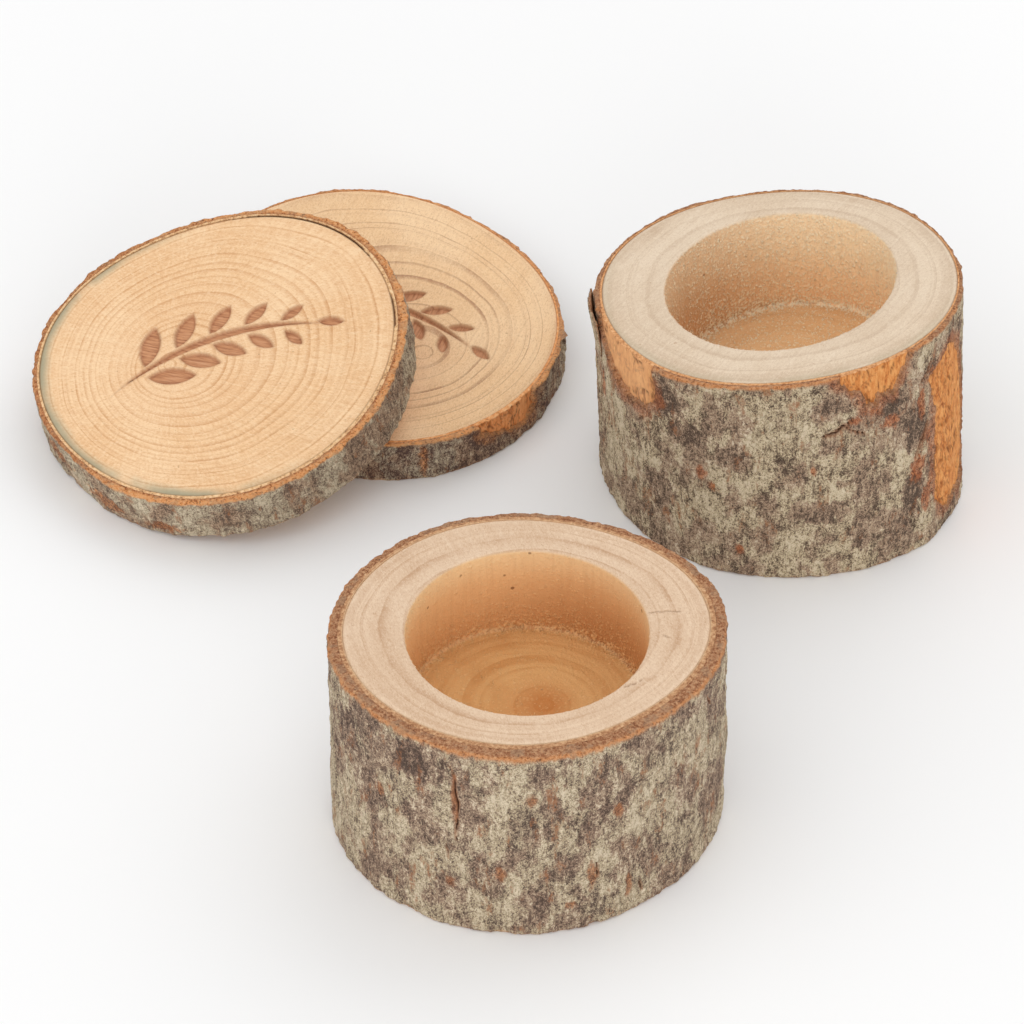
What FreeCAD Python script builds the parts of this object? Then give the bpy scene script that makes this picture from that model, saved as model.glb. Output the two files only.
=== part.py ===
import FreeCAD, Part
import math
import os

# A set of two rustic tealight holders, each a short slice of branch with a bored pocket,
# and their two sawn lids: one lies flat on the table and the other leans on its rim.
# Millimetres, +Z up, the table at z = 0, the origin at the centre of the front holder's base.
# Every slice is wood inside two bark layers: a thin inner bark and a rough outer bark.

Vec = FreeCAD.Vector

# The pocket of both holders takes a standard tealight cup.
POCKET_RADIUS = 20.0
FRONT_POCKET_DEPTH = 17.0
REAR_POCKET_DEPTH = 19.5

# How a slice is outlined: points round its edge, and the inner bark's share of the bark.
OUTLINE_POINTS = 60
INNER_BARK_SHARE = 0.35

# The engraving on both lids: a burnt sprig of leaves.
ENGRAVING_DEPTH = 0.6
SPRIG_LENGTH = 34.0
SPRIG_BEND = 4.5
STEM_WIDTH = 1.4
LEAF_PAIRS = 5
LONGEST_LEAF = 8.5
SHORTEST_LEAF = 4.5
LEAF_GAP = 1.3
LEAF_ANGLE = 42.0
LEAF_PLUMPNESS = 0.2
LEAVES_START = 0.12
LEAVES_END = 0.86
TIP_LEAF_ANGLE = -25.0
ABOVE_TOP = 1.0

# Where the slices stand or lie: the middle of the wood on the table, from the front holder.
REAR_PLACE = (43.6, 86.3)
FLAT_LID_PLACE = (-27.5, 118.5)
LEANING_LID_PLACE = (-53.1, 96.1)

# The leaning lid's slope, and the direction on the table that it rises in.
LEAN_TILT = 15.5
LEAN_HEADING = 45.6

# The pocket's offset from the middle of the wood.
FRONT_POCKET_OFFSET = (0.4, -0.6)
REAR_POCKET_OFFSET = (0.3, 1.4)

# Places on the rear holder where the outer bark has peeled off the inner bark: the angle of
# the window's middle, and its corners as (degrees from the middle, height). The two upper
# windows are open at the top. A window's cut runs between two shares of the wood's radius.
WINDOW_CUT = (0.7, 1.3)
PEELED_WINDOWS = [
    (208.0, [(-14, 33.5), (-6, 30.5), (10, 29.0), (16, 34.0), (13, 48.0), (-14, 48.0)]),
    (298.0, [(-11, 41.0), (-6, 37.0), (3, 36.5), (9, 39.0), (13, 50.0), (-12, 50.0)]),
    (336.0, [(-13, 26.0), (-10, 8.0), (-2, 3.0), (16, 4.0), (15, 20.0), (5, 40.0), (-4, 42.5),
             (-12, 39.5)]),
]

# The strip of bark that stands off the rear holder at its left rim.
FLAKE_ANGLES = (172.0, 180.5, 189.0)
FLAKE_HEIGHTS = (28.0, 36.8)
FLAKE_STANDOFF = (-0.25, 0.4)
FLAKE_THICKNESS = 0.5

# The spike of bark that stands out from the flat lid's right rim.
SPLINTER_ANGLES = (-13.0, -5.0)
SPLINTER_HEIGHTS = (4.1, 7.9)
SPLINTER_ROOT = 0.4
SPLINTER_TIP = (35.3, -6.5, 8.4)

PARTS_FOLDER = "parts"


class Slice:
    """A slice of branch in its own frame: base on z = 0, middle of the wood on the z axis."""

    def __init__(self, radius, swells, bark, bark_swing, height,
                 rise=(0.0, 0.0), taper=1.0, foot=(0.0, 0.0)):
        self.radius = radius            # mean radius of the wood
        self.swells = swells            # (lobes, size, angle of the first lobe)
        self.bark = bark                # mean thickness of both bark layers together
        self.bark_swing = bark_swing    # (how much thicker at one side, the angle of that side)
        self.height = height            # height of the top at the axis
        self.rise = rise                # slope of the sawn top towards +X and towards +Y
        self.taper = taper              # width of the base over the width of the top
        self.foot = foot                # how far the base is from under the top

    def edge(self, angle, share):
        """Distance from the axis at an angle: share 0 is the wood's edge, 1 is the bark's."""
        size = self.radius
        for lobes, swell, first_lobe in self.swells:
            size += swell * math.cos(lobes * math.radians(angle - first_lobe))
        swing, thick_side = self.bark_swing
        thickness = self.bark + swing * math.cos(math.radians(angle - thick_side))
        return size + share * thickness

    def top_z(self, x, y):
        return self.height + self.rise[0] * x + self.rise[1] * y

    def ends(self, angle, share, standoff=0.0):
        """Where the side at an angle meets the base and the top, or a distance outside them."""
        reach = self.edge(angle, share) + standoff
        x = reach * math.cos(math.radians(angle))
        y = reach * math.sin(math.radians(angle))
        base = Vec(x * self.taper + self.foot[0], y * self.taper + self.foot[1], 0.0)
        return base, Vec(x, y, self.top_z(x, y))

    def rim(self, share, end):
        """The outline at the base (end 0) or on the sloping top (end 1), as points."""
        angles = [step * 360.0 / OUTLINE_POINTS for step in range(OUTLINE_POINTS)]
        return [self.ends(angle, share)[end] for angle in angles]

    def beside(self, angle, standoff, height):
        """A point at a distance from the bark, at an angle and a height."""
        base, top = self.ends(angle, 1.0, standoff)
        return base + (top - base) * (height / top.z)

    def column(self, share):
        """Everything inside one outline, from base to top."""
        wires = []
        for end in (0, 1):
            curve = Part.BSplineCurve()
            curve.interpolate(Points=self.rim(share, end), PeriodicFlag=True)
            wires.append(Part.Wire([curve.toShape()]))
        return Part.makeLoft(wires, True, True)

    def layers(self):
        """The wood, the inner bark and the outer bark, which touch but don't overlap."""
        wood = self.column(0.0)
        inner = self.column(INNER_BARK_SHARE)
        outer = self.column(1.0)
        return [wood, inner.cut(wood), outer.cut(inner)]


def arc_region(start, end, left_bulge, right_bulge):
    """The flat region between two arcs that share their ends."""
    middle = (start + end) * 0.5
    along = end - start
    side = Vec(-along.y, along.x, 0.0).normalize()
    left = Part.Arc(start, middle + side * left_bulge, end).toShape()
    right = Part.Arc(end, middle - side * right_bulge, start).toShape()
    return Part.Face(Part.Wire([left, right]))


def leaf_region(foot, heading, length):
    aim = math.radians(heading)
    tip = foot + Vec(math.cos(aim), math.sin(aim), 0.0) * length
    return arc_region(foot, tip, LEAF_PLUMPNESS * length, LEAF_PLUMPNESS * length)


def sprig_regions():
    """A stem along X, tapering at both ends, and leaves that get shorter towards its tip."""
    half = 0.5 * SPRIG_LENGTH
    start = Vec(-half, 0.0, 0.0)
    end = Vec(half, 0.0, 0.0)
    regions = [arc_region(start, end, SPRIG_BEND, STEM_WIDTH - SPRIG_BEND)]
    bend_radius = (half ** 2 + SPRIG_BEND ** 2) / (2.0 * SPRIG_BEND)
    for pair in range(LEAF_PAIRS):
        share = pair / (LEAF_PAIRS - 1)
        length = LONGEST_LEAF + (SHORTEST_LEAF - LONGEST_LEAF) * share
        x = -half + SPRIG_LENGTH * (LEAVES_START + (LEAVES_END - LEAVES_START) * share)
        y = math.sqrt(bend_radius ** 2 - x ** 2) - bend_radius + SPRIG_BEND - 0.5 * STEM_WIDTH
        heading = -math.degrees(math.asin(x / bend_radius))
        for turn in (1, -1):
            foot = Vec(x, y + turn * LEAF_GAP, 0.0)
            regions.append(leaf_region(foot, heading + turn * LEAF_ANGLE, length))
    regions.append(leaf_region(end + Vec(LEAF_GAP, 0.0, 0.0), TIP_LEAF_ANGLE, SHORTEST_LEAF))
    return regions


def engrave(wood, top_z, middle, turn):
    """Sink the sprig into a flat top, at a place and an angle on it."""
    for region in sprig_regions():
        pocket = region.extrude(Vec(0.0, 0.0, ENGRAVING_DEPTH + ABOVE_TOP))
        pocket.rotate(Vec(), Vec(0.0, 0.0, 1.0), turn)
        pocket.translate(Vec(middle[0], middle[1], top_z - ENGRAVING_DEPTH))
        wood = wood.cut(pocket)
    return wood


def save(name, shape):
    """Write one node as a STEP file of its solids, and say how big it is."""
    solids = shape.Solids
    for solid in solids:
        assert solid.isValid() and solid.isClosed(), name
    node = solids[0] if len(solids) == 1 else Part.makeCompound(solids)
    node.exportStep(os.path.join(PARTS_FOLDER, name + ".step"))
    print(name, len(solids), "solid(s)", round(node.Volume, 1), "mm3")


def bored(wood, mouth, axis, depth):
    """The wood with a round pocket of a given depth, square to the face round its mouth."""
    tool = Part.makeCylinder(POCKET_RADIUS, 2.0 * depth, mouth - axis * depth, axis)
    return wood.cut(tool)


def peeled_window(middle, corners, radius):
    """A block that widens outwards from the axis, through the bark at one window."""
    wires = []
    for share in WINDOW_CUT:
        reach = share * radius
        points = []
        for degrees, height in corners:
            points.append(Vec(reach, reach * math.tan(math.radians(degrees)), height))
        wires.append(Part.makePolygon(points + [points[0]]))
    block = Part.makeLoft(wires, True, True)
    block.rotate(Vec(), Vec(0.0, 0.0, 1.0), middle)
    return block


def flake(piece):
    """A curved strip whose foot is in the bark and whose top stands off it."""
    first, middle, last = FLAKE_ANGLES
    wires = []
    for height, standoff in zip(FLAKE_HEIGHTS, FLAKE_STANDOFF):
        outside = standoff + FLAKE_THICKNESS
        near = [piece.beside(angle, standoff, height) for angle in (first, middle, last)]
        far = [piece.beside(angle, outside, height) for angle in (last, middle, first)]
        edges = [
            Part.Arc(*near).toShape(),
            Part.makeLine(near[2], far[0]),
            Part.Arc(*far).toShape(),
            Part.makeLine(far[2], near[0]),
        ]
        wires.append(Part.Wire(edges))
    return Part.makeLoft(wires, True, True)


def splinter(piece):
    """A spike with a triangular foot in the bark and its tip outside the rim."""
    low, high = SPLINTER_HEIGHTS
    start, end = SPLINTER_ANGLES
    foot = [
        piece.beside(start, -SPLINTER_ROOT, high),
        piece.beside(end, -SPLINTER_ROOT, high),
        piece.beside(end, -SPLINTER_ROOT, low),
    ]
    tip = Vec(*SPLINTER_TIP)
    faces = [Part.Face(Part.makePolygon(foot + [foot[0]]))]
    for step in range(3):
        corner = foot[step]
        following = foot[(step + 1) % 3]
        faces.append(Part.Face(Part.makePolygon([corner, following, tip, corner])))
    return Part.makeSolid(Part.makeShell(faces))


def save_layers(name, layers):
    for layer_name, layer in zip(("wood", "inner_bark", "outer_bark"), layers):
        save(name + "_" + layer_name, layer)


def moved(shape, place, height=0.0):
    shape.translate(Vec(place[0], place[1], height))
    return shape


def make_front_holder():
    log = Slice(
        radius=28.5,
        swells=[(2, 1.37, 8.0), (3, 0.36, 13.0), (4, 0.30, 8.0)],
        bark=2.65,
        bark_swing=(0.74, -70.0),
        height=39.8,
        taper=0.988,
    )
    wood, inner, outer = log.layers()
    x, y = FRONT_POCKET_OFFSET
    wood = bored(wood, Vec(x, y, log.height), Vec(0.0, 0.0, 1.0), FRONT_POCKET_DEPTH)
    save_layers("front_holder", [wood, inner, outer])


def make_rear_holder():
    log = Slice(
        radius=29.3,
        swells=[(2, 1.43, -21.0), (3, 0.10, 6.0), (4, 0.29, -32.0)],
        bark=1.05,
        bark_swing=(0.55, -113.0),
        height=41.2,
        rise=(0.128, -0.075),
        foot=(1.3, 0.5),
    )
    wood, inner, outer = log.layers()
    x, y = REAR_POCKET_OFFSET
    square = Vec(-log.rise[0], -log.rise[1], 1.0).normalize()
    wood = bored(wood, Vec(x, y, log.top_z(x, y)), square, REAR_POCKET_DEPTH)
    for middle, corners in PEELED_WINDOWS:
        outer = outer.cut(peeled_window(middle, corners, log.radius))
    save_layers("rear_holder", [moved(layer, REAR_PLACE) for layer in (wood, inner, outer)])
    save("rear_holder_bark_flake", moved(flake(log), REAR_PLACE))


def make_flat_lid():
    disc = Slice(
        radius=33.5,
        swells=[(2, 1.74, -51.0), (3, 0.31, -56.0), (4, 0.48, 5.0)],
        bark=0.85,
        bark_swing=(0.55, -74.0),
        height=8.1,
    )
    wood, inner, outer = disc.layers()
    wood = engrave(wood, disc.height, middle=(2.0, -1.0), turn=-26.0)
    save_layers("flat_lid", [moved(layer, FLAT_LID_PLACE) for layer in (wood, inner, outer)])
    save("flat_lid_bark_splinter", moved(splinter(disc), FLAT_LID_PLACE))


def make_leaning_lid():
    disc = Slice(
        radius=31.0,
        swells=[(2, 0.67, 17.0), (3, 0.71, 44.0), (4, 0.14, -20.0)],
        bark=1.6,
        bark_swing=(0.37, -27.0),
        height=9.4,
    )
    wood, inner, outer = disc.layers()
    wood = engrave(wood, disc.height, middle=(0.0, 0.0), turn=14.0)
    heading = math.radians(LEAN_HEADING)
    hinge_line = Vec(math.sin(heading), -math.cos(heading), 0.0)
    lean = FreeCAD.Rotation(hinge_line, LEAN_TILT)
    lowest = min(lean.multVec(point).z for point in disc.rim(1.0, 0))
    middle = lean.multVec(Vec(0.0, 0.0, disc.height))
    place = (LEANING_LID_PLACE[0] - middle.x, LEANING_LID_PLACE[1] - middle.y)
    layers = []
    for layer in (wood, inner, outer):
        layer.rotate(Vec(), hinge_line, LEAN_TILT)
        layers.append(moved(layer, place, -lowest))
    save_layers("leaning_lid", layers)


os.makedirs(PARTS_FOLDER, exist_ok=True)
make_front_holder()
make_rear_holder()
make_flat_lid()
make_leaning_lid()
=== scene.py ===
import math
from types import SimpleNamespace

import bmesh
import bpy
import numpy as np
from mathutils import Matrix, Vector


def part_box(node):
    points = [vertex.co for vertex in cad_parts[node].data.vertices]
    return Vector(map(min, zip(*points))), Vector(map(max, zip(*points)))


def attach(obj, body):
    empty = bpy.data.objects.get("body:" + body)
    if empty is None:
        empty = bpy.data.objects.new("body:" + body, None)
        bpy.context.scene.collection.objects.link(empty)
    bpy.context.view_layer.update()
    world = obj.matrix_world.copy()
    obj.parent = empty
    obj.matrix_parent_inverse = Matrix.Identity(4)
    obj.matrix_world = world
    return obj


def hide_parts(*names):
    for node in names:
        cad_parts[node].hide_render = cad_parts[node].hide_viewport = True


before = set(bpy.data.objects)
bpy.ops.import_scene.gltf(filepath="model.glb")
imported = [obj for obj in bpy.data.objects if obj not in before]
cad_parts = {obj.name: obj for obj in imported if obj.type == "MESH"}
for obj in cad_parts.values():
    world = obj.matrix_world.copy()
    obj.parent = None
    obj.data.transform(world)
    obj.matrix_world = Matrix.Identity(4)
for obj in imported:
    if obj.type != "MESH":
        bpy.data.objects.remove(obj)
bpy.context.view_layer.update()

# The looks of a set of two rustic tealight holders and their two sawn lids. Every CAD solid is
# replaced by a closed mesh with the same outline, which adds the bark's relief, torn edges,
# crumbs and the burnt engraving. Lengths are millimetres until mesh_of turns them into metres,
# and the angles in constants, looks and arguments are degrees. The floor, the lights and the
# camera are in metres.
MM = 0.001
TURN = 2.0 * math.pi

# Driving values of the CAD model.
POCKET_RADIUS = 20.0
FRONT_POCKET_DEPTH = 17.0
REAR_POCKET_DEPTH = 19.5
INNER_BARK_SHARE = 0.35
LEAN_TILT = 15.5
LEAN_HEADING = 45.6

# Where each pocket is on its holder, and each sprig on its lid.
FRONT_POCKET_MIDDLE = (0.4, -0.6)
REAR_POCKET_MIDDLE = (0.3, 1.4)
FLAT_SPRIG_MIDDLE = (2.0, -1.0)
FLAT_SPRIG_TURN = -26.0
LEANING_SPRIG_MIDDLE = (0.0, 0.0)
LEANING_SPRIG_TURN = 14.0

ENGRAVING_DEPTH = 0.6
SPRIG_LENGTH = 34.0
SPRIG_BEND = 4.5
STEM_WIDTH = 1.4
LEAF_PAIRS = 5
LONGEST_LEAF = 8.5
SHORTEST_LEAF = 4.5
LEAF_GAP = 1.3
LEAF_ANGLE = 42.0
LEAF_PLUMPNESS = 0.2
LEAVES_START = 0.12
LEAVES_END = 0.86
TIP_LEAF_ANGLE = -25.0

# The rounding of a pocket's mouth and of the corner round its floor.
CHAMFER = 0.4
CORNER = 0.7

# How far the growth rings stray from copies of the outline.
RING_WARP = 0.8

# The bark flake: its sides in degrees, and the heights of its foot and its top.
FLAKE_SIDES = (172.0, 189.0)
FLAKE_FOOT = 28.0
FLAKE_TOP = 36.8
FLAKE_THICKNESS = 0.5

# The bark splinter: the angle and the height of each corner of its foot, and its tip.
SPLINTER_FOOT = ((-13.0, 7.9), (-5.0, 7.9), (-5.0, 4.1))
SPLINTER_TIP = (35.3, -6.5, 8.4)

# The camera, and how bright the white surroundings are.
CAMERA_TARGET = (-0.00206, 0.07444, 0.0)
CAMERA_DISTANCE = 1.4272
CAMERA_PITCH = 41.26
CAMERA_LENS = 289.3
WORLD_STRENGTH = 0.78

# How fine the meshes are: columns round a bark layer, rows up its side, and cells across the
# square grids that are bent into discs.
BARK_COLUMNS = 880
BARK_ROWS = 89
LID_BARK_ROWS = 28
FLOOR_CELLS = 160
LID_CELLS = 272


class Look(SimpleNamespace):
    """Named values that say how a surface looks. Colours are as a screen shows them, 0 to 255."""

    def but(self, **changes):
        """The same look with some of its values changed."""
        return Look(**{**vars(self), **changes})


# --- Seeded noise and other fields, worked out for whole arrays of points ---

class Noise:
    """Smooth random values in space that are the same on every run."""

    def __init__(self, seed):
        source = np.random.default_rng(seed)
        self.order = source.permutation(256)
        slopes = source.normal(size=(256, 3))
        self.slopes = slopes / np.linalg.norm(slopes, axis=1, keepdims=True)

    def at(self, points):
        """A value from about -1 to 1 at each point, changing over a length of about 1."""
        shape = points.shape[:-1]
        points = points.reshape(-1, 3)
        cell = np.floor(points).astype(np.int64)
        part = points - cell
        fade = part ** 3 * (part * (part * 6.0 - 15.0) + 10.0)
        total = np.zeros(len(points))
        for corner in np.ndindex(2, 2, 2):
            lattice = (cell + corner) & 255
            pick = self.order[lattice[:, 0]]
            pick = self.order[(pick + lattice[:, 1]) & 255]
            pick = self.order[(pick + lattice[:, 2]) & 255]
            value = np.einsum("ij,ij->i", self.slopes[pick], part - corner)
            weight = np.prod(np.where(corner, fade, 1.0 - fade), axis=1)
            total += weight * value
        return (1.6 * total).reshape(shape)

    def layers(self, points, octaves, gain=0.5):
        """Several sizes of noise on top of each other, from coarse to fine."""
        total = 0.0
        reach = 0.0
        for octave in range(octaves):
            total = total + gain ** octave * self.at(points * 2.03 ** octave + 17.3 * octave)
            reach += gain ** octave
        return total / reach


def band(value, low, high):
    """0 below low, 1 above high and smooth between; low may be above high."""
    share = np.clip((value - low) / (high - low), 0.0, 1.0)
    return share * share * (3.0 - 2.0 * share)


def blend(share, first, second):
    return first + (second - first) * share


def degrees_from(middle, angle):
    """How far an angle is round from a middle angle, from -180 to 180."""
    return (angle - middle + 180.0) % 360.0 - 180.0


def clumps(points, size, cover, seed):
    """Torn clumps, from 0 to 1 high, that crowd together where cover is near 1."""
    edge = 0.9 - 1.1 * cover
    return band(Noise(seed).layers(points / size, 2, 0.6), edge, edge + 0.3)


def line_distance(u, v, corners):
    """Distance to a line through corners (u, v), and how far along it from 0 to 1."""
    nearest = np.full(np.shape(u), 1e9)
    along = np.zeros(np.shape(u))
    spans = len(corners) - 1
    for span, (start, end) in enumerate(zip(corners[:-1], corners[1:])):
        du = end[0] - start[0]
        dv = end[1] - start[1]
        share = ((u - start[0]) * du + (v - start[1]) * dv) / (du * du + dv * dv)
        share = np.clip(share, 0.0, 1.0)
        away = np.hypot(u - start[0] - share * du, v - start[1] - share * dv)
        closer = away < nearest
        nearest = np.where(closer, away, nearest)
        along = np.where(closer, (span + share) / spans, along)
    return nearest, along


def inside_distance(u, v, corners):
    """Distance to a closed outline through corners (u, v): above 0 inside, below 0 outside."""
    closed = corners + corners[:1]
    away, _ = line_distance(u, v, closed)
    inside = np.zeros(np.shape(u), bool)
    for start, end in zip(closed[:-1], closed[1:]):
        if start[1] == end[1]:
            continue
        crosses = (start[1] > v) != (end[1] > v)
        inside ^= crosses & (u < start[0] + (v - start[1]) * (end[0] - start[0]) / (end[1] - start[1]))
    return np.where(inside, away, -away)


# --- The slices of branch ---

def heading_of(points):
    """The angle of each point round the z axis."""
    return np.degrees(np.arctan2(points[..., 1], points[..., 0]))


class Slice:
    """A slice of branch in its own frame: base on z = 0, middle of the wood on the z axis."""

    def __init__(self, name, radius, swells, bark, bark_swing, height, pith, seed,
                 rise=(0.0, 0.0), taper=1.0, foot=(0.0, 0.0), lean=0.0, stain_side=0.0):
        self.name = name
        self.radius = radius            # mean radius of the wood
        self.swells = swells            # (lobes, size, angle of the first lobe)
        self.bark = bark                # mean thickness of both bark layers together
        self.bark_swing = bark_swing    # (how much thicker at one side, the angle of that side)
        self.height = height            # height of the top at the axis
        self.pith = pith                # where the growth rings start, on the base and on the top
        self.seed = seed
        self.rise = rise                # slope of the sawn top towards +X and towards +Y
        self.taper = taper              # width of the base over the width of the top
        self.foot = foot                # how far the base is from under the top
        self.lean = lean                # how far it tilts up towards LEAN_HEADING
        self.stain_side = stain_side    # the angle of the side where damp has stained the wood
        self.place = np.zeros(3)
        self.place = self.find_place()

    def edge(self, angle, share):
        """Distance from the axis at an angle: share 0 is the wood's edge, 1 is the bark's."""
        size = self.radius
        for lobes, swell, first_lobe in self.swells:
            size = size + swell * np.cos(lobes * np.radians(angle - first_lobe))
        swing, thick_side = self.bark_swing
        thickness = self.bark + swing * np.cos(np.radians(angle - thick_side))
        return size + share * thickness

    def top_z(self, x, y):
        return self.height + self.rise[0] * x + self.rise[1] * y

    def top(self, angle, reach):
        """A point of the sawn top at an angle and a distance from the axis."""
        x = reach * np.cos(np.radians(angle))
        y = reach * np.sin(np.radians(angle))
        return np.stack([x, y, self.top_z(x, y)], -1)

    def beside(self, angle, share, standoff, height):
        """A point at an angle and a height, on a layer's side or a distance outside it."""
        top = self.top(angle, self.edge(angle, share) + standoff)
        base = top * (self.taper, self.taper, 0.0) + (self.foot[0], self.foot[1], 0.0)
        return base + (top - base) * (height / top[..., 2])[..., None]

    def placed(self, points):
        """From the slice's own frame to the frame of the whole set."""
        points = np.asarray(points, float)
        if self.lean:
            heading = math.radians(LEAN_HEADING)
            tilt = math.radians(self.lean)
            forward = np.array([math.cos(heading), math.sin(heading), 0.0])
            sideways = np.array([math.sin(heading), -math.cos(heading), 0.0])
            up = np.array([0.0, 0.0, 1.0])
            ahead = points @ forward
            aside = points @ sideways
            high = points @ up
            points = (
                np.outer(ahead * math.cos(tilt) - high * math.sin(tilt), forward)
                + np.outer(aside, sideways)
                + np.outer(ahead * math.sin(tilt) + high * math.cos(tilt), up)
            )
        return points + self.place

    def find_place(self):
        """The slice stands where the CAD model has it, so its place comes from the frame."""
        angle = np.linspace(0.0, 360.0, 720, endpoint=False)
        top = self.beside(angle, 1.0, 0.0, self.top(angle, self.edge(angle, 1.0))[:, 2])
        base = self.beside(angle, 1.0, 0.0, np.zeros(len(angle)))
        mine = self.placed(np.concatenate([base, top]))
        lowest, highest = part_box(self.name + "_outer_bark")
        low = np.array(lowest) / MM - mine.min(0)
        high = np.array(highest) / MM - mine.max(0)
        return 0.5 * (low + high)

    def ring_value(self, points):
        """Growth rings are round at the pith and turn into copies of the outline towards the
        bark. This is 0 at the pith and the wood's mean radius at its edge."""
        angle = np.linspace(-180.0, 180.0, 1441)
        flat = points[..., :2] - self.pith
        heading = np.arctan2(flat[..., 1], flat[..., 0])
        away = np.hypot(flat[..., 0], flat[..., 1])

        def reach_to(edge):
            rim = self.top(angle, edge)[:, :2] - self.pith
            turn = np.arctan2(rim[:, 1], rim[:, 0])
            order = np.argsort(turn)
            return np.interp(heading, turn[order], np.hypot(rim[:, 0], rim[:, 1])[order], period=TURN)

        outline = reach_to(self.edge(angle, 0.0))
        circle = reach_to(np.full(len(angle), self.radius))
        share = away / outline
        share = away / blend(np.clip(share, 0.0, 1.0) ** 1.5, circle, outline)
        warp = Noise(self.seed + 50).layers(points / (16.0, 16.0, 50.0), 2)
        return self.radius * share + RING_WARP * warp * np.clip(3.0 * share, 0.0, 1.0)

    def stain(self, points):
        """0 to 1: how far a point is on the side that damp has stained."""
        return band(np.cos(np.radians(heading_of(points) - self.stain_side)), -0.3, 0.5)

    def edge_gap(self, points):
        """How far a point of the wood is from the bark."""
        return self.edge(heading_of(points), 0.0) - np.hypot(points[..., 0], points[..., 1])


# --- Meshes ---

class Build:
    """Collects the points, faces and per-point values of one closed mesh."""

    def __init__(self):
        self.points = []
        self.values = []
        self.quads = []
        self.triangles = []
        self.count = 0

    def add(self, points, **values):
        """Adds points in any arrangement, and gives back their numbers in the same one."""
        shape = points.shape[:-1]
        size = int(np.prod(shape))
        self.points.append(points.reshape(-1, 3))
        spread = {name: np.broadcast_to(value, shape).reshape(-1) for name, value in values.items()}
        self.values.append((size, spread))
        ids = self.count + np.arange(size).reshape(shape)
        self.count += size
        return ids

    def grid(self, ids, around=True, along=False):
        """Quads over a grid of points: it may close around its columns and along its rows."""
        if around:
            ids = np.concatenate([ids, ids[:, :1]], 1)
        if along:
            ids = np.concatenate([ids, ids[:1]], 0)
        faces = np.stack([ids[:-1, :-1], ids[1:, :-1], ids[1:, 1:], ids[:-1, 1:]], -1)
        self.quads.append(faces.reshape(-1, 4))

    def halve(self, ring, inner):
        """Joins a ring to one with half as many points."""
        following = np.roll(ring, -2)[::2]
        outer, middle = ring[::2], ring[1::2]
        onward = np.roll(inner, -1)
        self.triangles.append(np.stack([outer, middle, inner], -1))
        self.triangles.append(np.stack([middle, onward, inner], -1))
        self.triangles.append(np.stack([middle, following, onward], -1))

    def value(self, name):
        parts = [spread.get(name, np.zeros(size)) for size, spread in self.values]
        return np.concatenate(parts)


def disc_grid(cells):
    """A square grid bent into a unit disc: each point's reach and angle, and the order of its
    border, whose points are evenly turned."""
    line = np.linspace(-1.0, 1.0, cells + 1)
    a, b = np.meshgrid(line, line, indexing="ij")
    wide = np.abs(a) > np.abs(b)
    reach = np.where(wide, a, b)
    safe_a = np.where(a == 0.0, 1.0, a)
    safe_b = np.where(b == 0.0, 1.0, b)
    angle = np.where(wide, 45.0 * b / safe_a, 90.0 - 45.0 * a / safe_b)
    angle = angle + np.where(reach < 0.0, 180.0, 0.0)
    whole = np.arange((cells + 1) ** 2).reshape(cells + 1, cells + 1)
    border = np.concatenate([whole[-1, :-1], whole[:0:-1, -1], whole[0, :0:-1], whole[:-1, 0]])
    return np.abs(reach), angle, border


def border_angles(cells):
    return np.arange(4 * cells) * 360.0 / (4 * cells) - 45.0


def mesh_of(name, build, piece):
    """A Blender mesh from a build, in metres and in its place, with its values as attributes."""
    local = np.concatenate(build.points)
    faces = [face for block in build.quads for face in block.tolist()]
    faces += [face for block in build.triangles for face in block.tolist()]
    mesh = bpy.data.meshes.new(name)
    mesh.from_pydata((piece.placed(local) * MM).tolist(), [], faces)
    turned = bmesh.new()
    turned.from_mesh(mesh)
    bmesh.ops.recalc_face_normals(turned, faces=turned.faces)
    turned.to_mesh(mesh)
    turned.free()
    mesh.polygons.foreach_set("use_smooth", np.ones(len(faces), bool))
    for key in sorted({key for _, spread in build.values for key in spread}):
        layer = mesh.attributes.new(key, "FLOAT", "POINT")
        layer.data.foreach_set("value", build.value(key).astype(np.float32))
    grain = local - (piece.pith[0], piece.pith[1], 0.0)
    layer = mesh.attributes.new("grain", "FLOAT_VECTOR", "POINT")
    layer.data.foreach_set("vector", grain.astype(np.float32).ravel())
    mesh.update()
    return mesh


def add_piece(piece, name, node, build, material):
    """Adds a piece of a slice. It stands for a CAD node, rides on the slice's body and takes
    its finish from a slot."""
    name = piece.name + "_" + name
    mesh = mesh_of(name, build, piece)
    mesh.materials.append(material)
    made = bpy.data.objects.new(name, mesh)
    bpy.context.scene.collection.objects.link(made)
    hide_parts(piece.name + "_" + node)
    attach(made, piece.name)


# --- Bark layers ---

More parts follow.
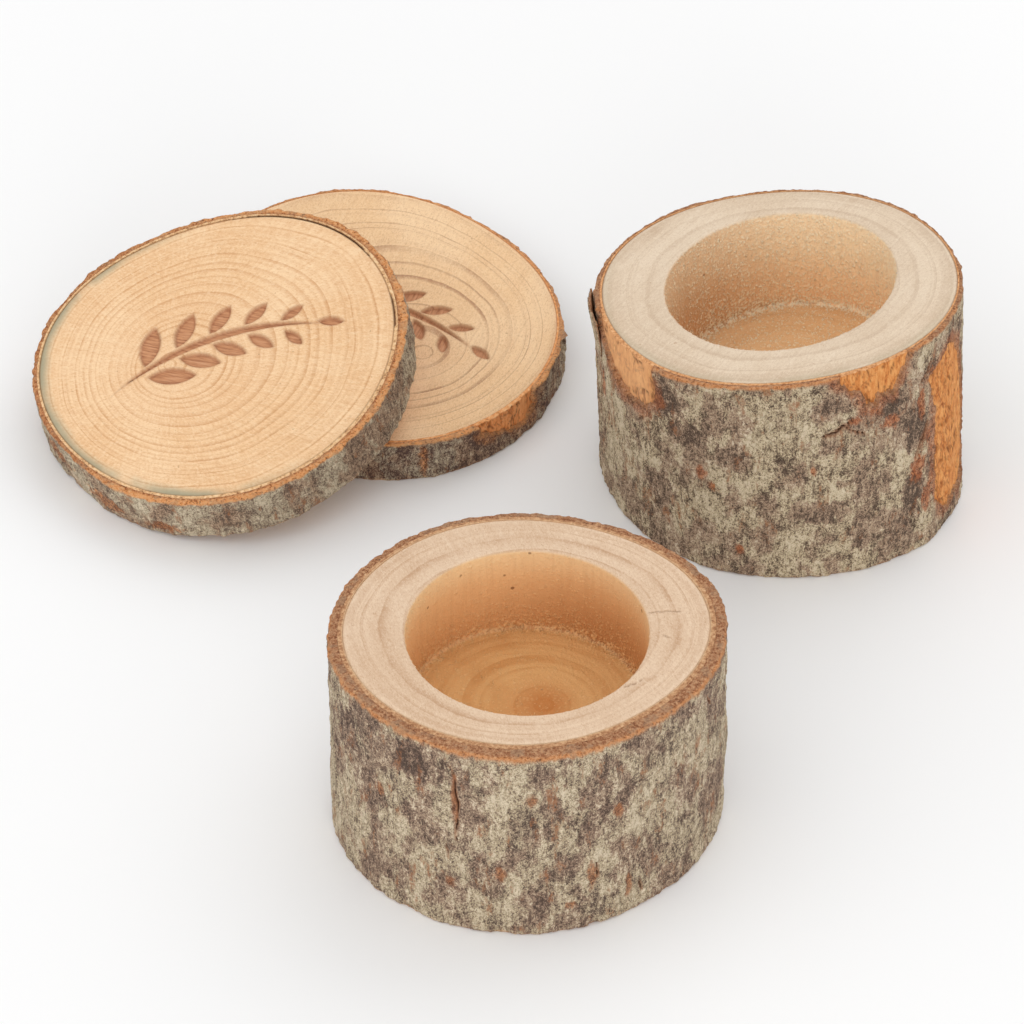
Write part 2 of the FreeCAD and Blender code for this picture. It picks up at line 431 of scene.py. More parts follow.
class Layer:
    """The smooth closed surface of one bark layer, as rows that run up the inside, out over the
    top, down the outside and back under the base. Its corners are rounded by uneven chips. For
    each point it holds the angle, the distance from the axis, how far it faces out and up, how
    far it is below the rim, and how far across the bark it is, from 0 at the wood to 1."""

    CORNER_STEPS = 5

    def __init__(self, piece, inner, outer, side_rows, top_rows, chip, foot_chip, columns):
        self.piece = piece
        angle = np.arange(columns) * 360.0 / columns
        near = piece.edge(angle, inner)
        far = piece.edge(angle, outer)
        rim = piece.top(angle, far)
        bites = Noise(piece.seed + 60)
        width = far - near
        top_chip = np.clip(chip * (1.0 + 0.8 * bites.layers(rim / 2.2, 3)), 0.08, 0.7 * width)
        low_rim = rim * (1.0, 1.0, 0.0)
        low_chip = np.clip(foot_chip * (1.0 + 1.1 * bites.layers(low_rim / 2.7, 3)), 0.06, 0.7 * width)
        rows = []

        def row(reach, height, out, up, below):
            """One row, from its distance from the axis and its height above the base."""
            rows.append((reach, height, np.full(columns, out), np.full(columns, up), below))

        def ceiling(reach):
            return piece.top(angle, reach)[:, 2]

        row(near, np.full(columns, 0.05), 0.0, 0.0, ceiling(near))
        row(near, ceiling(near) - 0.05, 0.0, 0.0, np.full(columns, 0.05))
        for step in range(top_rows):
            share = step / top_rows
            reach = near + (far - top_chip - near) * share
            row(reach, ceiling(reach), 0.0, 1.0, np.zeros(columns))
        for step in range(self.CORNER_STEPS + 1):
            turn = 0.25 * TURN * step / self.CORNER_STEPS
            reach = far - top_chip * (1.0 - math.sin(turn))
            drop = top_chip * (1.0 - math.cos(turn))
            row(reach, ceiling(reach) - drop, math.sin(turn), math.cos(turn), drop)
        for step in range(1, side_rows):
            share = step / side_rows
            height = (ceiling(far) - top_chip) * (1.0 - share) + low_chip * share
            row(far, height, 1.0, 0.0, ceiling(far) - height)
        for step in range(self.CORNER_STEPS + 1):
            turn = 0.25 * TURN * step / self.CORNER_STEPS
            reach = far - low_chip * (1.0 - math.cos(turn))
            height = low_chip * (1.0 - math.sin(turn))
            row(reach, height, math.cos(turn), 0.0, ceiling(far) - height)
        row(blend(0.6, near, far - low_chip), np.zeros(columns), 0.0, 0.0, ceiling(far))
        reach, height, self.out, self.up, self.below = (np.stack(part) for part in zip(*rows))
        self.angle = np.broadcast_to(angle, reach.shape)
        self.reach = reach
        self.points = piece.beside(self.angle, outer, reach - far, np.maximum(height, 0.0))
        wood_edge = piece.edge(angle, 0.0)
        self.across = (reach - wood_edge) / (piece.edge(angle, 1.0) - wood_edge)
        self.height = self.points[..., 2]

    def arc(self, middle):
        """Distance round the bark from an angle, in millimetres."""
        return np.radians(degrees_from(middle, self.angle)) * self.piece.radius

    def moved(self, outwards, upwards):
        """The surface's points after a move away from the axis and a move up."""
        turn = np.radians(self.angle)
        side = np.stack([np.cos(turn), np.sin(turn), np.zeros_like(turn)], -1)
        points = self.points + side * outwards[..., None]
        points[..., 2] = np.maximum(points[..., 2] + upwards, 0.0)
        return points


def peeled(layer, windows, seed):
    """How far each point is inside the places where the outer bark has come off, in mm."""
    depth = np.full(layer.angle.shape, -1e3)
    tear = Noise(seed + 70).layers(layer.points / (1.2, 1.2, 2.8), 4, 0.65)
    for middle, corners in windows:
        outline = [(math.radians(degrees) * layer.piece.radius, height) for degrees, height in corners]
        depth = np.maximum(depth, inside_distance(layer.arc(middle), layer.height, outline))
    return depth + 1.2 * tear


def cracked(layer, cracks, seed):
    """0 to 1: how far into a named crack each point is, and the warm edge round it."""
    deep = np.zeros(layer.angle.shape)
    warm = np.zeros(layer.angle.shape)
    wander = Noise(seed + 80)
    sway = 0.5 * wander.layers(layer.points / (1.6, 1.6, 2.6), 3)
    for width, corners in cracks:
        middle = corners[0][0]
        line = []
        for degrees, height in corners:
            line.append((math.radians(degrees - middle) * layer.piece.radius, height))
        away, along = line_distance(layer.arc(middle) + sway, layer.height, line)
        slim = width * (0.35 + 0.65 * np.sin(0.5 * TURN * np.clip(along, 0.04, 0.96)))
        deep = np.maximum(deep, band(away, slim, 0.2 * slim))
        warm = np.maximum(warm, band(away, 2.6 * slim, slim))
    return deep, warm


def spotted(layer, spots, seed):
    """0 to 1: how far into one of the named spots each point is."""
    spot = np.zeros(layer.angle.shape)
    tear = Noise(seed + 90).layers(layer.points / (0.9, 0.9, 1.3), 3, 0.6)
    for middle, height, half_width, half_height in spots:
        away = np.hypot(layer.arc(middle) / half_width, (layer.height - height) / half_height)
        spot = np.maximum(spot, band(away + 0.9 * tear, 1.25, 0.7))
    return spot


def layer_build(layer, points, **values):
    """The closed mesh of a bark layer, from its moved points and their values."""
    build = Build()
    ids = build.add(points, across=layer.across, below=layer.below, **values)
    build.grid(ids, around=True, along=True)
    return build


def broken_edges(layer, style, lumps, bare_depth):
    """Where the bark is raw and broken: at its rim, round the peeled places and a little at the
    foot. The second value says where that is bright: on one side, and round the peeled places."""
    frayed = Noise(layer.piece.seed + 10).layers(layer.points / (1.1, 1.1, 1.6), 3)
    rim = band(layer.below, style.raw_rim * (1.0 + 0.9 * frayed), 0.25 * style.raw_rim)
    foot = style.raw_foot * band(layer.height, 0.5 + 0.4 * frayed, 0.0)
    raw = np.maximum(np.maximum(rim, 0.75 * band(bare_depth, -0.4, 0.0)), foot)
    middle, half_width = style.bright_rim
    side = np.abs(degrees_from(middle, layer.angle)) + 25.0 * lumps
    bright = band(side, half_width + 12.0, half_width - 12.0)
    return raw, np.maximum(bright, band(bare_depth, -1.2, -0.3))


def outer_bark(piece, style):
    """The rough outside of the bark: swellings, lichen patches, grain, fissures, chips, dark
    stains, rusty spots and the places where it has peeled."""
    seed = piece.seed
    layer = Layer(piece, INNER_BARK_SHARE, 1.0, style.rows, style.top_rows,
                  style.chip, style.foot_chip, BARK_COLUMNS)
    at = layer.points
    swell = Noise(seed + 1).at(at / (11.0, 11.0, 24.0))
    lumps = Noise(seed + 2).layers(at / (4.0, 4.0, 5.5), 2)
    streaks = Noise(seed + 3).layers(at / (1.7, 1.7, 8.0), 3, 0.6)
    grain = Noise(seed + 4).layers(at / (1.25, 1.25, 1.5), 3, 0.6)
    patch = band(Noise(seed + 5).layers(at / (6.0, 6.0, 9.0), 4, 0.6), -0.16, 0.2)
    ridge = np.abs(Noise(seed + 6).layers(at / (3.6, 3.6, 13.0), 3))
    sparse = band(Noise(seed + 7).at(at / (8.0, 8.0, 15.0)), 0.22, 0.5)
    fissure = 0.6 * band(ridge, 0.04, 0.0) * sparse
    deep, warm = cracked(layer, style.cracks, seed)
    bare_depth = peeled(layer, style.windows, seed)
    bare = band(bare_depth, -0.2, 0.25)
    stained = 0.75 * band(bare_depth + 2.5 * lumps, -2.4, -0.6) * (1.0 - bare)
    spots = np.maximum(spotted(layer, style.spots, seed), stained)
    patch = patch * (1.0 - 0.75 * band(bare_depth + 1.5 * lumps, -4.5, -1.0))
    lip = band(bare_depth, -1.0, -0.1) * (1.0 - bare)
    # Painted shade: a thin dark line where the raised lip drops into each peeled place.
    lip_shade = band(bare_depth, -0.35, -0.15) * band(bare_depth, 0.1, -0.1)
    lip_shade = 0.5 * lip_shade * band(lumps, -0.1, 0.15)
    relief = (
        style.swell * swell + style.lumps * lumps + 0.34 * streaks + 0.28 * grain
        + 0.14 * patch - 0.45 * fissure - 0.6 * deep - 0.12 * spots + 0.2 * lip
    )
    chipped = 1.0 + 0.5 * Noise(seed + 9).at(at / 0.9)
    for middle, height, size, depth in style.notches:
        away = chipped * np.hypot(layer.arc(middle), layer.height - height)
        relief = relief - depth * band(away, size, 0.3 * size)

    # Where it has peeled, the surface sinks until the inner bark hides it.
    hidden_reach = piece.edge(layer.angle, INNER_BARK_SHARE) - 0.03
    sink = np.minimum(hidden_reach - layer.reach, 0.0)
    outwards = blend(bare, relief * layer.out, sink)
    pits = clumps(at, 0.6, 0.55, seed + 8)
    rough_top = 0.16 * grain - 0.22 * pits
    upwards = blend(bare, rough_top * layer.up, -0.5 * (layer.up + 0.3 * layer.out))
    raw, bright = broken_edges(layer, style, lumps, bare_depth)
    stains = spotted(layer, style.stains, seed + 1)
    # crack holds the fissures and named cracks, and the painted shade under the lips.
    crack = np.maximum(np.maximum(0.8 * fissure, deep), lip_shade)
    warm = np.maximum(warm, 0.3 * lip)
    return layer_build(layer, layer.moved(outwards, upwards), patch=patch - 1.8 * stains,
                       raw=raw, crack=crack, warm=warm, bright=bright, spots=spots)


def inner_bark(piece, style):
    """The thin fibrous layer under the rough bark. It shows as a ring on the sawn top, and as
    torn fibres where the outer bark has come off."""
    seed = piece.seed + 20
    rows = style.rows if style.windows else 6
    columns = BARK_COLUMNS if style.windows else BARK_COLUMNS // 2
    layer = Layer(piece, 0.0, INNER_BARK_SHARE, rows, 4, 0.06, 0.06, columns)
    at = layer.points
    shown = band(peeled(layer, style.windows, piece.seed), -0.9, 0.4) if style.windows else 0.0
    fibres = Noise(seed + 1).layers(at / (0.8, 0.8, 7.0), 3, 0.6)
    flakes = Noise(seed + 2).layers(at / (2.2, 2.2, 3.0), 3, 0.6)
    tears = band(np.abs(Noise(seed + 3).layers(at / (2.0, 2.0, 6.5), 3)), 0.07, 0.0)
    tears = tears * band(Noise(seed + 4).at(at / 4.0), -0.15, 0.15)
    creases = np.abs(Noise(seed + 6).layers(at / (1.5, 1.5, 2.0), 3, 0.6))
    crumple = np.zeros(layer.angle.shape)
    for middle, half_width in style.crumpled:
        crumple = np.maximum(crumple, band(np.abs(layer.arc(middle)), half_width, 0.6 * half_width))
    relief = 0.24 + 0.2 * fibres + 0.36 * flakes - 0.25 * tears + 0.7 * crumple * creases
    relief = np.maximum(relief, 0.04)
    grain = Noise(seed + 5).layers(at / 0.9, 2)
    seam = np.zeros(layer.angle.shape)
    for middle, half_width, depth in style.seams:
        away = np.abs(layer.arc(middle)) / (math.radians(half_width) * piece.radius)
        seam = np.maximum(seam, depth * band(away + 0.25 * grain, 1.0, 0.7))
    # Painted light: the torn fibres are paler on the lit sides.
    pale = np.zeros(layer.angle.shape)
    for middle, half_width in style.pale_sides:
        away = np.abs(layer.arc(middle)) + 2.0 * flakes
        pale = np.maximum(pale, band(away, half_width, 0.6 * half_width))
    near_wood = band(layer.across, 0.8 * INNER_BARK_SHARE, 0.1 * INNER_BARK_SHARE)
    upwards = layer.up * (0.1 * grain - seam * near_wood)
    points = layer.moved(relief * layer.out * shown, upwards)
    # The crumple value is painted shade in the creases of the crumpled places.
    return layer_build(layer, points, tears=tears * layer.out, pale=pale * layer.out,
                       crumple=crumple * band(creases, 0.07, 0.01),
                       seam=band(seam * near_wood, 0.1, 0.5) * layer.up)


# --- The engraving ---

def arc_shape(x, y, start, end, left_bulge, right_bulge):
    """How far a point is outside the region between two arcs that share their ends."""
    middle = (0.5 * (start[0] + end[0]), 0.5 * (start[1] + end[1]))
    along = (end[0] - start[0], end[1] - start[1])
    chord = math.hypot(*along)
    side = (-along[1] / chord, along[0] / chord)
    outside = []
    for bulge, sign in ((left_bulge, 1.0), (right_bulge, -1.0)):
        size = abs(bulge)
        radius = (0.25 * chord * chord + size * size) / (2.0 * size)
        outwards = sign * math.copysign(1.0, bulge)
        centre_x = middle[0] + side[0] * outwards * (size - radius)
        centre_y = middle[1] + side[1] * outwards * (size - radius)
        away = np.hypot(x - centre_x, y - centre_y) - radius
        outside.append(away if bulge > 0.0 else -away)
    return np.maximum(*outside)


def leaf_shape(x, y, foot, heading, length):
    """How far a point is outside a pointed leaf that grows from its foot along a heading."""
    aim = math.radians(heading)
    tip = (foot[0] + length * math.cos(aim), foot[1] + length * math.sin(aim))
    bulge = LEAF_PLUMPNESS * length
    return arc_shape(x, y, foot, tip, bulge, bulge)


def sprig_distance(points, middle, turn):
    """Distance outside the engraved sprig: a stem with leaves that get shorter to its tip."""
    aim = math.radians(turn)
    x = (points[..., 0] - middle[0]) * math.cos(aim) + (points[..., 1] - middle[1]) * math.sin(aim)
    y = (points[..., 1] - middle[1]) * math.cos(aim) - (points[..., 0] - middle[0]) * math.sin(aim)
    half = 0.5 * SPRIG_LENGTH
    nearest = arc_shape(x, y, (-half, 0.0), (half, 0.0), SPRIG_BEND, STEM_WIDTH - SPRIG_BEND)
    bend_radius = (half ** 2 + SPRIG_BEND ** 2) / (2.0 * SPRIG_BEND)
    for pair in range(LEAF_PAIRS):
        share = pair / (LEAF_PAIRS - 1)
        length = LONGEST_LEAF + (SHORTEST_LEAF - LONGEST_LEAF) * share
        foot_x = -half + SPRIG_LENGTH * (LEAVES_START + (LEAVES_END - LEAVES_START) * share)
        foot_y = math.sqrt(bend_radius ** 2 - foot_x ** 2) - bend_radius + SPRIG_BEND - 0.5 * STEM_WIDTH
        heading = -math.degrees(math.asin(foot_x / bend_radius))
        for side in (1, -1):
            foot = (foot_x, foot_y + side * LEAF_GAP)
            leaf = leaf_shape(x, y, foot, heading + side * LEAF_ANGLE, length)
            nearest = np.minimum(nearest, leaf)
    tip_leaf = leaf_shape(x, y, (half + LEAF_GAP, 0.0), TIP_LEAF_ANGLE, SHORTEST_LEAF)
    return np.minimum(nearest, tip_leaf)


# --- Wood ---

def add_base(build, piece, ring):
    """Closes a block of wood below: two rings that halve their points, then a disc of cells."""
    for share in (0.985, 0.955):
        angle = border_angles(len(ring) // 8)
        reach = piece.edge(angle, 0.0) * share
        at = piece.beside(angle, 0.0, reach - piece.edge(angle, 0.0), np.full(len(angle), 0.04))
        inner = build.add(at, gap=piece.edge_gap(at), rings=piece.ring_value(at))
        build.halve(ring, inner)
        ring = inner
    reach, angle, border = disc_grid(len(ring) // 4)
    wood_edge = piece.edge(angle, 0.0)
    at = piece.beside(angle, 0.0, 0.92 * reach * wood_edge - wood_edge, np.full(angle.shape, 0.0))
    at[..., 2] = 0.05 + 0.04 * Noise(piece.seed + 30).layers(at / (1.2, 6.0, 1.0), 2)
    ids = build.add(at, gap=piece.edge_gap(at), rings=piece.ring_value(at))
    build.grid(ids, around=False)
    build.grid(np.stack([ring, ids.ravel()[border]]))


def lid_wood(piece, middle, turn):
    """A sawn disc with saw marks, a worn rim and the sprig burnt into its top."""
    build = Build()
    seed = piece.seed + 30
    reach, angle, border = disc_grid(LID_CELLS)
    wood_edge = piece.edge(angle, 0.0)
    at = piece.top(angle, reach * wood_edge)
    outside = sprig_distance(at, middle, turn)
    burn = band(outside, 0.12, -0.16)
    scorch = band(outside, 0.55, 0.0) * (1.0 - burn)
    gap = piece.edge_gap(at)
    saw = Noise(seed + 1).layers(at / (0.9, 14.0, 1.0), 2)
    floor_grain = Noise(seed + 2).layers(at / 0.7, 2)
    at[..., 2] += 0.02 * saw - 0.16 * band(gap, 0.5, 0.0)
    at[..., 2] -= burn * (ENGRAVING_DEPTH + 0.07 * floor_grain)
    deep_edge = burn * band(outside, -0.55, -0.1)
    ids = build.add(at, gap=gap, burn=burn, scorch=np.maximum(scorch, deep_edge),
                    stain=piece.stain(at), rings=piece.ring_value(at))
    build.grid(ids, around=False)
    rim = ids.ravel()[border]
    rim_angle = border_angles(LID_CELLS)
    lower = build.add(piece.beside(rim_angle, 0.0, 0.0, np.full(len(rim_angle), 0.08)))
    build.grid(np.stack([rim, lower]))
    add_base(build, piece, lower)
    return build


def torn_crumbs(points, cover, seed):
    """The height of the crumbs that a drill leaves on wood, in millimetres: clumps and grit."""
    height, chance = np.random.default_rng(seed).random((2,) + points.shape[:-1])
    grit = (0.03 + 0.2 * height) * (chance < 0.5 * cover)
    return np.maximum(0.1 * clumps(points, 0.45, cover, seed), grit)


class Pocket:
    """A holder's pocket, bored square to the sawn top. Its points are given by a turn about the
    bore's axis, a distance from that axis and a depth below the mouth."""

    def __init__(self, piece, middle, depth, style):
        self.piece = piece
        self.depth = depth
        self.style = style
        self.seed = piece.seed + 30
        self.mouth = np.array([middle[0], middle[1], piece.top_z(*middle)])
        square = np.array([-piece.rise[0], -piece.rise[1], 1.0])
        self.square = square / np.linalg.norm(square)
        ahead = np.cross([0.0, 1.0, 0.0], self.square)
        self.ahead = ahead / np.linalg.norm(ahead)
        self.aside = np.cross(self.square, self.ahead)

    def point(self, turn, reach, down):
        turn = np.radians(turn)
        flat = np.multiply.outer(np.cos(turn) * reach, self.ahead)
        flat = flat + np.multiply.outer(np.sin(turn) * reach, self.aside)
        return self.mouth + flat - np.multiply.outer(down + 0.0 * reach, self.square)

    def profile(self):
        """Distances from the axis and depths, down the chamfer, the wall and the corner."""
        rows = []
        for step in range(1, 4):
            turn = 0.25 * TURN * step / 3
            reach = POCKET_RADIUS + CHAMFER * (1.0 - math.sin(turn))
            rows.append((reach, CHAMFER * (1.0 - math.cos(turn))))
        for step in range(1, self.style.wall_rows):
            down = blend(step / self.style.wall_rows, CHAMFER, self.depth - CORNER)
            rows.append((POCKET_RADIUS, down))
        for step in range(4):
            turn = 0.25 * TURN * step / 4
            reach = POCKET_RADIUS - CORNER * (1.0 - math.cos(turn))
            rows.append((reach, self.depth - CORNER * (1.0 - math.sin(turn))))
        return zip(*rows)

    def fuzz(self, turn, above_floor):
        """How much of the wall torn fibres cover: more near the floor, or on one side."""
        style = self.style
        side = band(np.cos(np.radians(turn - style.fuzzy_side)), -0.5, 0.5)
        return style.fuzz + style.floor_fuzz * band(above_floor, 8.0, 2.0) + style.side_fuzz * side

    def shade(self, turn, down):
        """How much painted shade darkens the wood on one side, by angle and by share of the depth."""
        side = band(np.cos(np.radians(turn - self.style.dark_side)), *self.style.dark_spread)
        mouth = self.style.dark_mouth
        return side * (mouth + (1.0 - mouth) * band(down, 0.0, 0.8))

    def tufts(self, at, turn, above_floor):
        """The height of the bigger tufts of fibres on the wall."""
        height = np.zeros(turn.shape)
        for middle, above, half_width, half_height, size in self.style.tufts:
            around = degrees_from(middle, turn) / half_width
            away = np.hypot(around, (above_floor - above) / half_height)
            height = np.maximum(height, size * band(away, 1.0, 0.2))
        return height * band(Noise(self.seed + 15).layers(at / 0.7, 3), -0.1, 0.35)

    def debris(self, at, edge, cover, swollen):
        """Crumbs, which are bigger near the floor's edge, and the hollows among them, dented and
        darkened with painted shade.
        """
        bigger = 1.0 + 0.6 * band(edge, *swollen)
        crumb = torn_crumbs(at, np.minimum(cover, 0.85), self.seed + 6) * bigger
        hollow = band(edge, 1.2, 0.4) * band(Noise(self.seed + 9).layers(at / 1.1, 2), 0.12, 0.3)
        return crumb, hollow


def add_sawn_top(build, pocket):
    """The face from the bark to the pocket's mouth, with saw marks and fine splits."""
    piece = pocket.piece
    angle = border_angles(FLOOR_CELLS)
    lip = pocket.point(angle, np.full(len(angle), POCKET_RADIUS + CHAMFER), 0.0)
    rim = piece.top(angle, piece.edge(angle, 0.0))
    at = rim + (lip - rim) * np.linspace(0.0, 1.0, pocket.style.top_rings)[:, None, None]
    gap = piece.edge_gap(at)
    turn = math.radians(pocket.style.saw_turn)
    saw_x = at[..., 0] * math.cos(turn) + at[..., 1] * math.sin(turn)
    saw_y = at[..., 1] * math.cos(turn) - at[..., 0] * math.sin(turn)
    saw_place = np.stack([saw_x / 0.8, saw_y / 15.0, np.zeros_like(saw_x)], -1)
    saw = Noise(pocket.seed + 1).layers(saw_place, 2)
    sway = 0.35 * Noise(pocket.seed + 8).layers(at / 1.1, 2)
    split = np.zeros(gap.shape)
    for width, line in pocket.style.splits:
        away, along = line_distance(at[..., 0] + sway, at[..., 1] - sway, line)
        slim = width * np.sin(0.5 * TURN * np.clip(along, 0.05, 0.95))
        split = np.maximum(split, band(away, slim + 0.12, 0.25 * slim))
    at[..., 2] += 0.02 * saw - 0.14 * band(gap, 0.5, 0.0) - 0.3 * split
    top = build.add(at, gap=gap, rings=piece.ring_value(at), split=split, stain=piece.stain(at))
    build.grid(top)
    return top


def add_pocket_wall(build, pocket, mouth):
    """The chamfer, the wall and the corner below it: chatter, a ragged mouth, clinging crumbs
    and a line of debris round the floor."""
    piece, depth, seed = pocket.piece, pocket.depth, pocket.seed
    angle = border_angles(FLOOR_CELLS)
    reach, down = (np.array(part)[:, None] + np.zeros(len(angle)) for part in pocket.profile())
    turns = np.broadcast_to(angle, reach.shape)
    at = pocket.point(turns, reach, down)
    above_floor = depth - down
    chatter = Noise(seed + 4).at(at / (0.9, 0.9, 12.0)) + 0.6 * Noise(seed + 5).layers(at / 2.5, 3)
    ragged = band(down, 0.7, 0.1) * Noise(seed + 3).layers(at / 0.8, 2)
    edge = above_floor + 0.9 * Noise(seed + 7).layers(at / 2.6, 3)
    cover = pocket.fuzz(turns, above_floor)
    cover = cover + 0.35 * band(edge, 6.0, 2.5) + 0.25 * band(edge, 2.5, 0.3)
    crumb, hollow = pocket.debris(at, edge, cover, (3.0, 0.5))
    lift = pocket.style.flutes * chatter + 0.1 * ragged + crumb - 0.1 * hollow
    lift = lift + pocket.tufts(at, turns, above_floor)
    inwards = pocket.point(turns, reach - lift * band(above_floor, -0.4, 0.5), down)
    upwards = np.multiply.outer(lift * band(above_floor, 0.9, 0.0), pocket.square)
    wall = build.add(inwards + upwards, gap=piece.edge_gap(at), rings=piece.ring_value(at),
                     inside=band(down, 0.0, 0.5), crumb=crumb, hollow=hollow, down=down / depth,
                     shade=pocket.shade(turns, down / depth))
    build.grid(np.concatenate([mouth, wall]))
    return wall


def add_pocket_floor(build, pocket, corner):
    """The floor inside the corner: turning marks, shallow bumps and loose crumbs."""
    piece, seed = pocket.piece, pocket.seed
    reach, turns, border = disc_grid(FLOOR_CELLS)
    reach = reach * (POCKET_RADIUS - CORNER)
    at = pocket.point(turns, reach, pocket.depth)
    marks = np.sin(TURN * reach / 1.3 + 2.0 * Noise(seed + 10).at(at / 7.0))
    bumps = Noise(seed + 11).layers(at / 3.0, 3)
    edge = POCKET_RADIUS - reach + 0.8 * Noise(seed + 12).layers(at / 2.2, 3)
    cover = pocket.style.loose + 0.5 * band(edge, 2.6, 0.3)
    crumb, hollow = pocket.debris(at, edge, cover, (2.0, 0.3))
    lift = 0.025 * marks + 0.05 * bumps + crumb - 0.1 * hollow
    floor = build.add(pocket.point(turns, reach, pocket.depth - lift), gap=piece.edge_gap(at),
                      rings=piece.ring_value(at), inside=1.0, floor=1.0, crumb=crumb,
                      hollow=hollow, down=1.0, shade=pocket.shade(turns, 1.0))
    build.grid(floor, around=False)
    build.grid(np.stack([corner, floor.ravel()[border]]))


def holder_wood(piece, middle, depth, style):
    """A block of wood with a bored pocket. Its outside and its base are hidden and plain."""
    build = Build()
    pocket = Pocket(piece, middle, depth, style)
    top = add_sawn_top(build, pocket)
    wall = add_pocket_wall(build, pocket, top[-1:])
    add_pocket_floor(build, pocket, wall[-1])
    angle = border_angles(FLOOR_CELLS)
    lower = build.add(piece.beside(angle, 0.0, 0.0, np.full(len(angle), 0.08)))
    build.grid(np.stack([lower, top[0]]))
    add_base(build, piece, lower)
    return build


# --- Materials ---

def linear(colour):
    """A colour as a screen shows it, 0 to 255, turned into the values that a shader takes."""
    return (*(((part / 255.0 + 0.055) / 1.055) ** 2.4 for part in colour), 1.0)


def is_socket(value):
    return isinstance(value, bpy.types.NodeSocket)


class Recipe:
    """A node material built by short calls: each gives the socket that the next one takes."""

    def __init__(self, name):
        self.material = bpy.data.materials.new(name)
        self.material.use_nodes = True
        self.tree = self.material.node_tree
        self.tree.nodes.clear()
        output = self.tree.nodes.new("ShaderNodeOutputMaterial")
        self.shader = self.tree.nodes.new("ShaderNodeBsdfPrincipled")
        self.tree.links.new(self.shader.outputs["BSDF"], output.inputs["Surface"])

    def fill(self, node, inputs):
        """Links a node's inputs to sockets, or sets their values."""
        for name, value in inputs.items():
            if is_socket(value):
                self.tree.links.new(value, node.inputs[name])
            else:
                node.inputs[name].default_value = value

    def node(self, kind, output, inputs, **settings):
        """A new node with its settings and inputs; gives one of its outputs."""
        node = self.tree.nodes.new("ShaderNode" + kind)
        for name, value in settings.items():
            setattr(node, name, value)
        self.fill(node, inputs)
        return node.outputs[output]

    def attribute(self, name, vector=False):
        return self.node("Attribute", "Vector" if vector else "Fac", {}, attribute_name=name)

    def sum(self, operation, *values):
        """Plain arithmetic on numbers."""
        return self.node("Math", 0, dict(enumerate(values)), operation=operation)

    def plus(self, first, second):
        return self.sum("ADD", first, second)

    def times(self, first, second):
        return self.sum("MULTIPLY", first, second)

    def scaled(self, value, size, offset):
        return self.sum("MULTIPLY_ADD", value, size, offset)

    def stretch(self, vector, sizes, turn=0.0):
        """Places for a texture: turned about Z, then made this many times longer each way."""
        turned = {"Vector": vector, "Rotation": (0.0, 0.0, math.radians(turn)), "Scale": sizes}
        return self.node("Mapping", 0, turned, vector_type="TEXTURE")

    def directed(self, vector):
        """The direction from the pith, with no length and no height."""
        flat = self.node("VectorMath", 0, {0: vector, 1: (1.0, 1.0, 0.0)}, operation="MULTIPLY")
        return self.node("VectorMath", 0, {0: flat}, operation="NORMALIZE")

    def raised(self, vector, height):
        """The same vector with a height added."""
        up = self.node("CombineXYZ", 0, {2: height})
        return self.node("VectorMath", 0, {0: vector, 1: up}, operation="ADD")

    def noise(self, vector, size, detail=3.0, rough=0.5, twist=0.0):
        """Cloudy values round 0.5, whose largest blobs are about this many millimetres."""
        cloud = {"Scale": 1.0 / size, "Detail": detail, "Roughness": rough, "Distortion": twist}
        return self.node("TexNoise", "Fac", {"Vector": vector, **cloud})

    def line_noise(self, value, size, detail=2.0):
        """Cloudy values that depend on one number only."""
        cloud = {"W": value, "Scale": 1.0 / size, "Detail": detail}
        return self.node("TexNoise", "Fac", cloud, noise_dimensions="1D")

    def chance(self, value):
        """A value from 0 to 1 that jumps wherever the number changes."""
        return self.node("TexWhiteNoise", "Value", {"W": value}, noise_dimensions="1D")

    def cells(self, vector, size):
        """Distance to the nearest of many scattered dots, whose usual gap is this size."""
        return self.node("TexVoronoi", "Distance", {"Vector": vector, "Scale": 1.0 / size})

    def band(self, value, low, high):
        """0 below low, 1 above high and smooth between; low may be above high."""
        ends = {"Value": value, "From Min": min(low, high), "From Max": max(low, high)}
        ends.update({"To Min": float(low > high), "To Max": float(low < high)})
        return self.node("MapRange", "Result", ends, interpolation_type="SMOOTHSTEP")

    def mix(self, mask, under, over, share=None):
        """Lays one colour over another where the mask says, or over a share of it."""
        if share is not None:
            mask = self.times(mask, share)
        under, over = (each if is_socket(each) else linear(each) for each in (under, over))
        return self.node("Mix", 2, {0: mask, 6: under, 7: over}, data_type="RGBA")

    def ramp(self, value, *stops):
        """Colours by value, from pairs of a value and its colour."""
        node = self.tree.nodes.new("ShaderNodeValToRGB")
        elements = node.color_ramp.elements
        while len(elements) < len(stops):
            elements.new(0.5)
        for element, (position, colour) in zip(elements, stops):
            element.position = position
            element.color = linear(colour)
        self.fill(node, {"Fac": value})
        return node.outputs["Color"]

    def finish(self, colour, roughness, height, gloss=0.25):
        """Colour, roughness and a height in millimetres, which becomes bump."""
        bump = self.node("Bump", "Normal", {"Distance": MM, "Height": height})
        self.fill(self.shader, {"Base Color": colour, "Roughness": roughness, "Normal": bump})
        self.shader.inputs["Specular IOR Level"].default_value = gloss
        return self.material


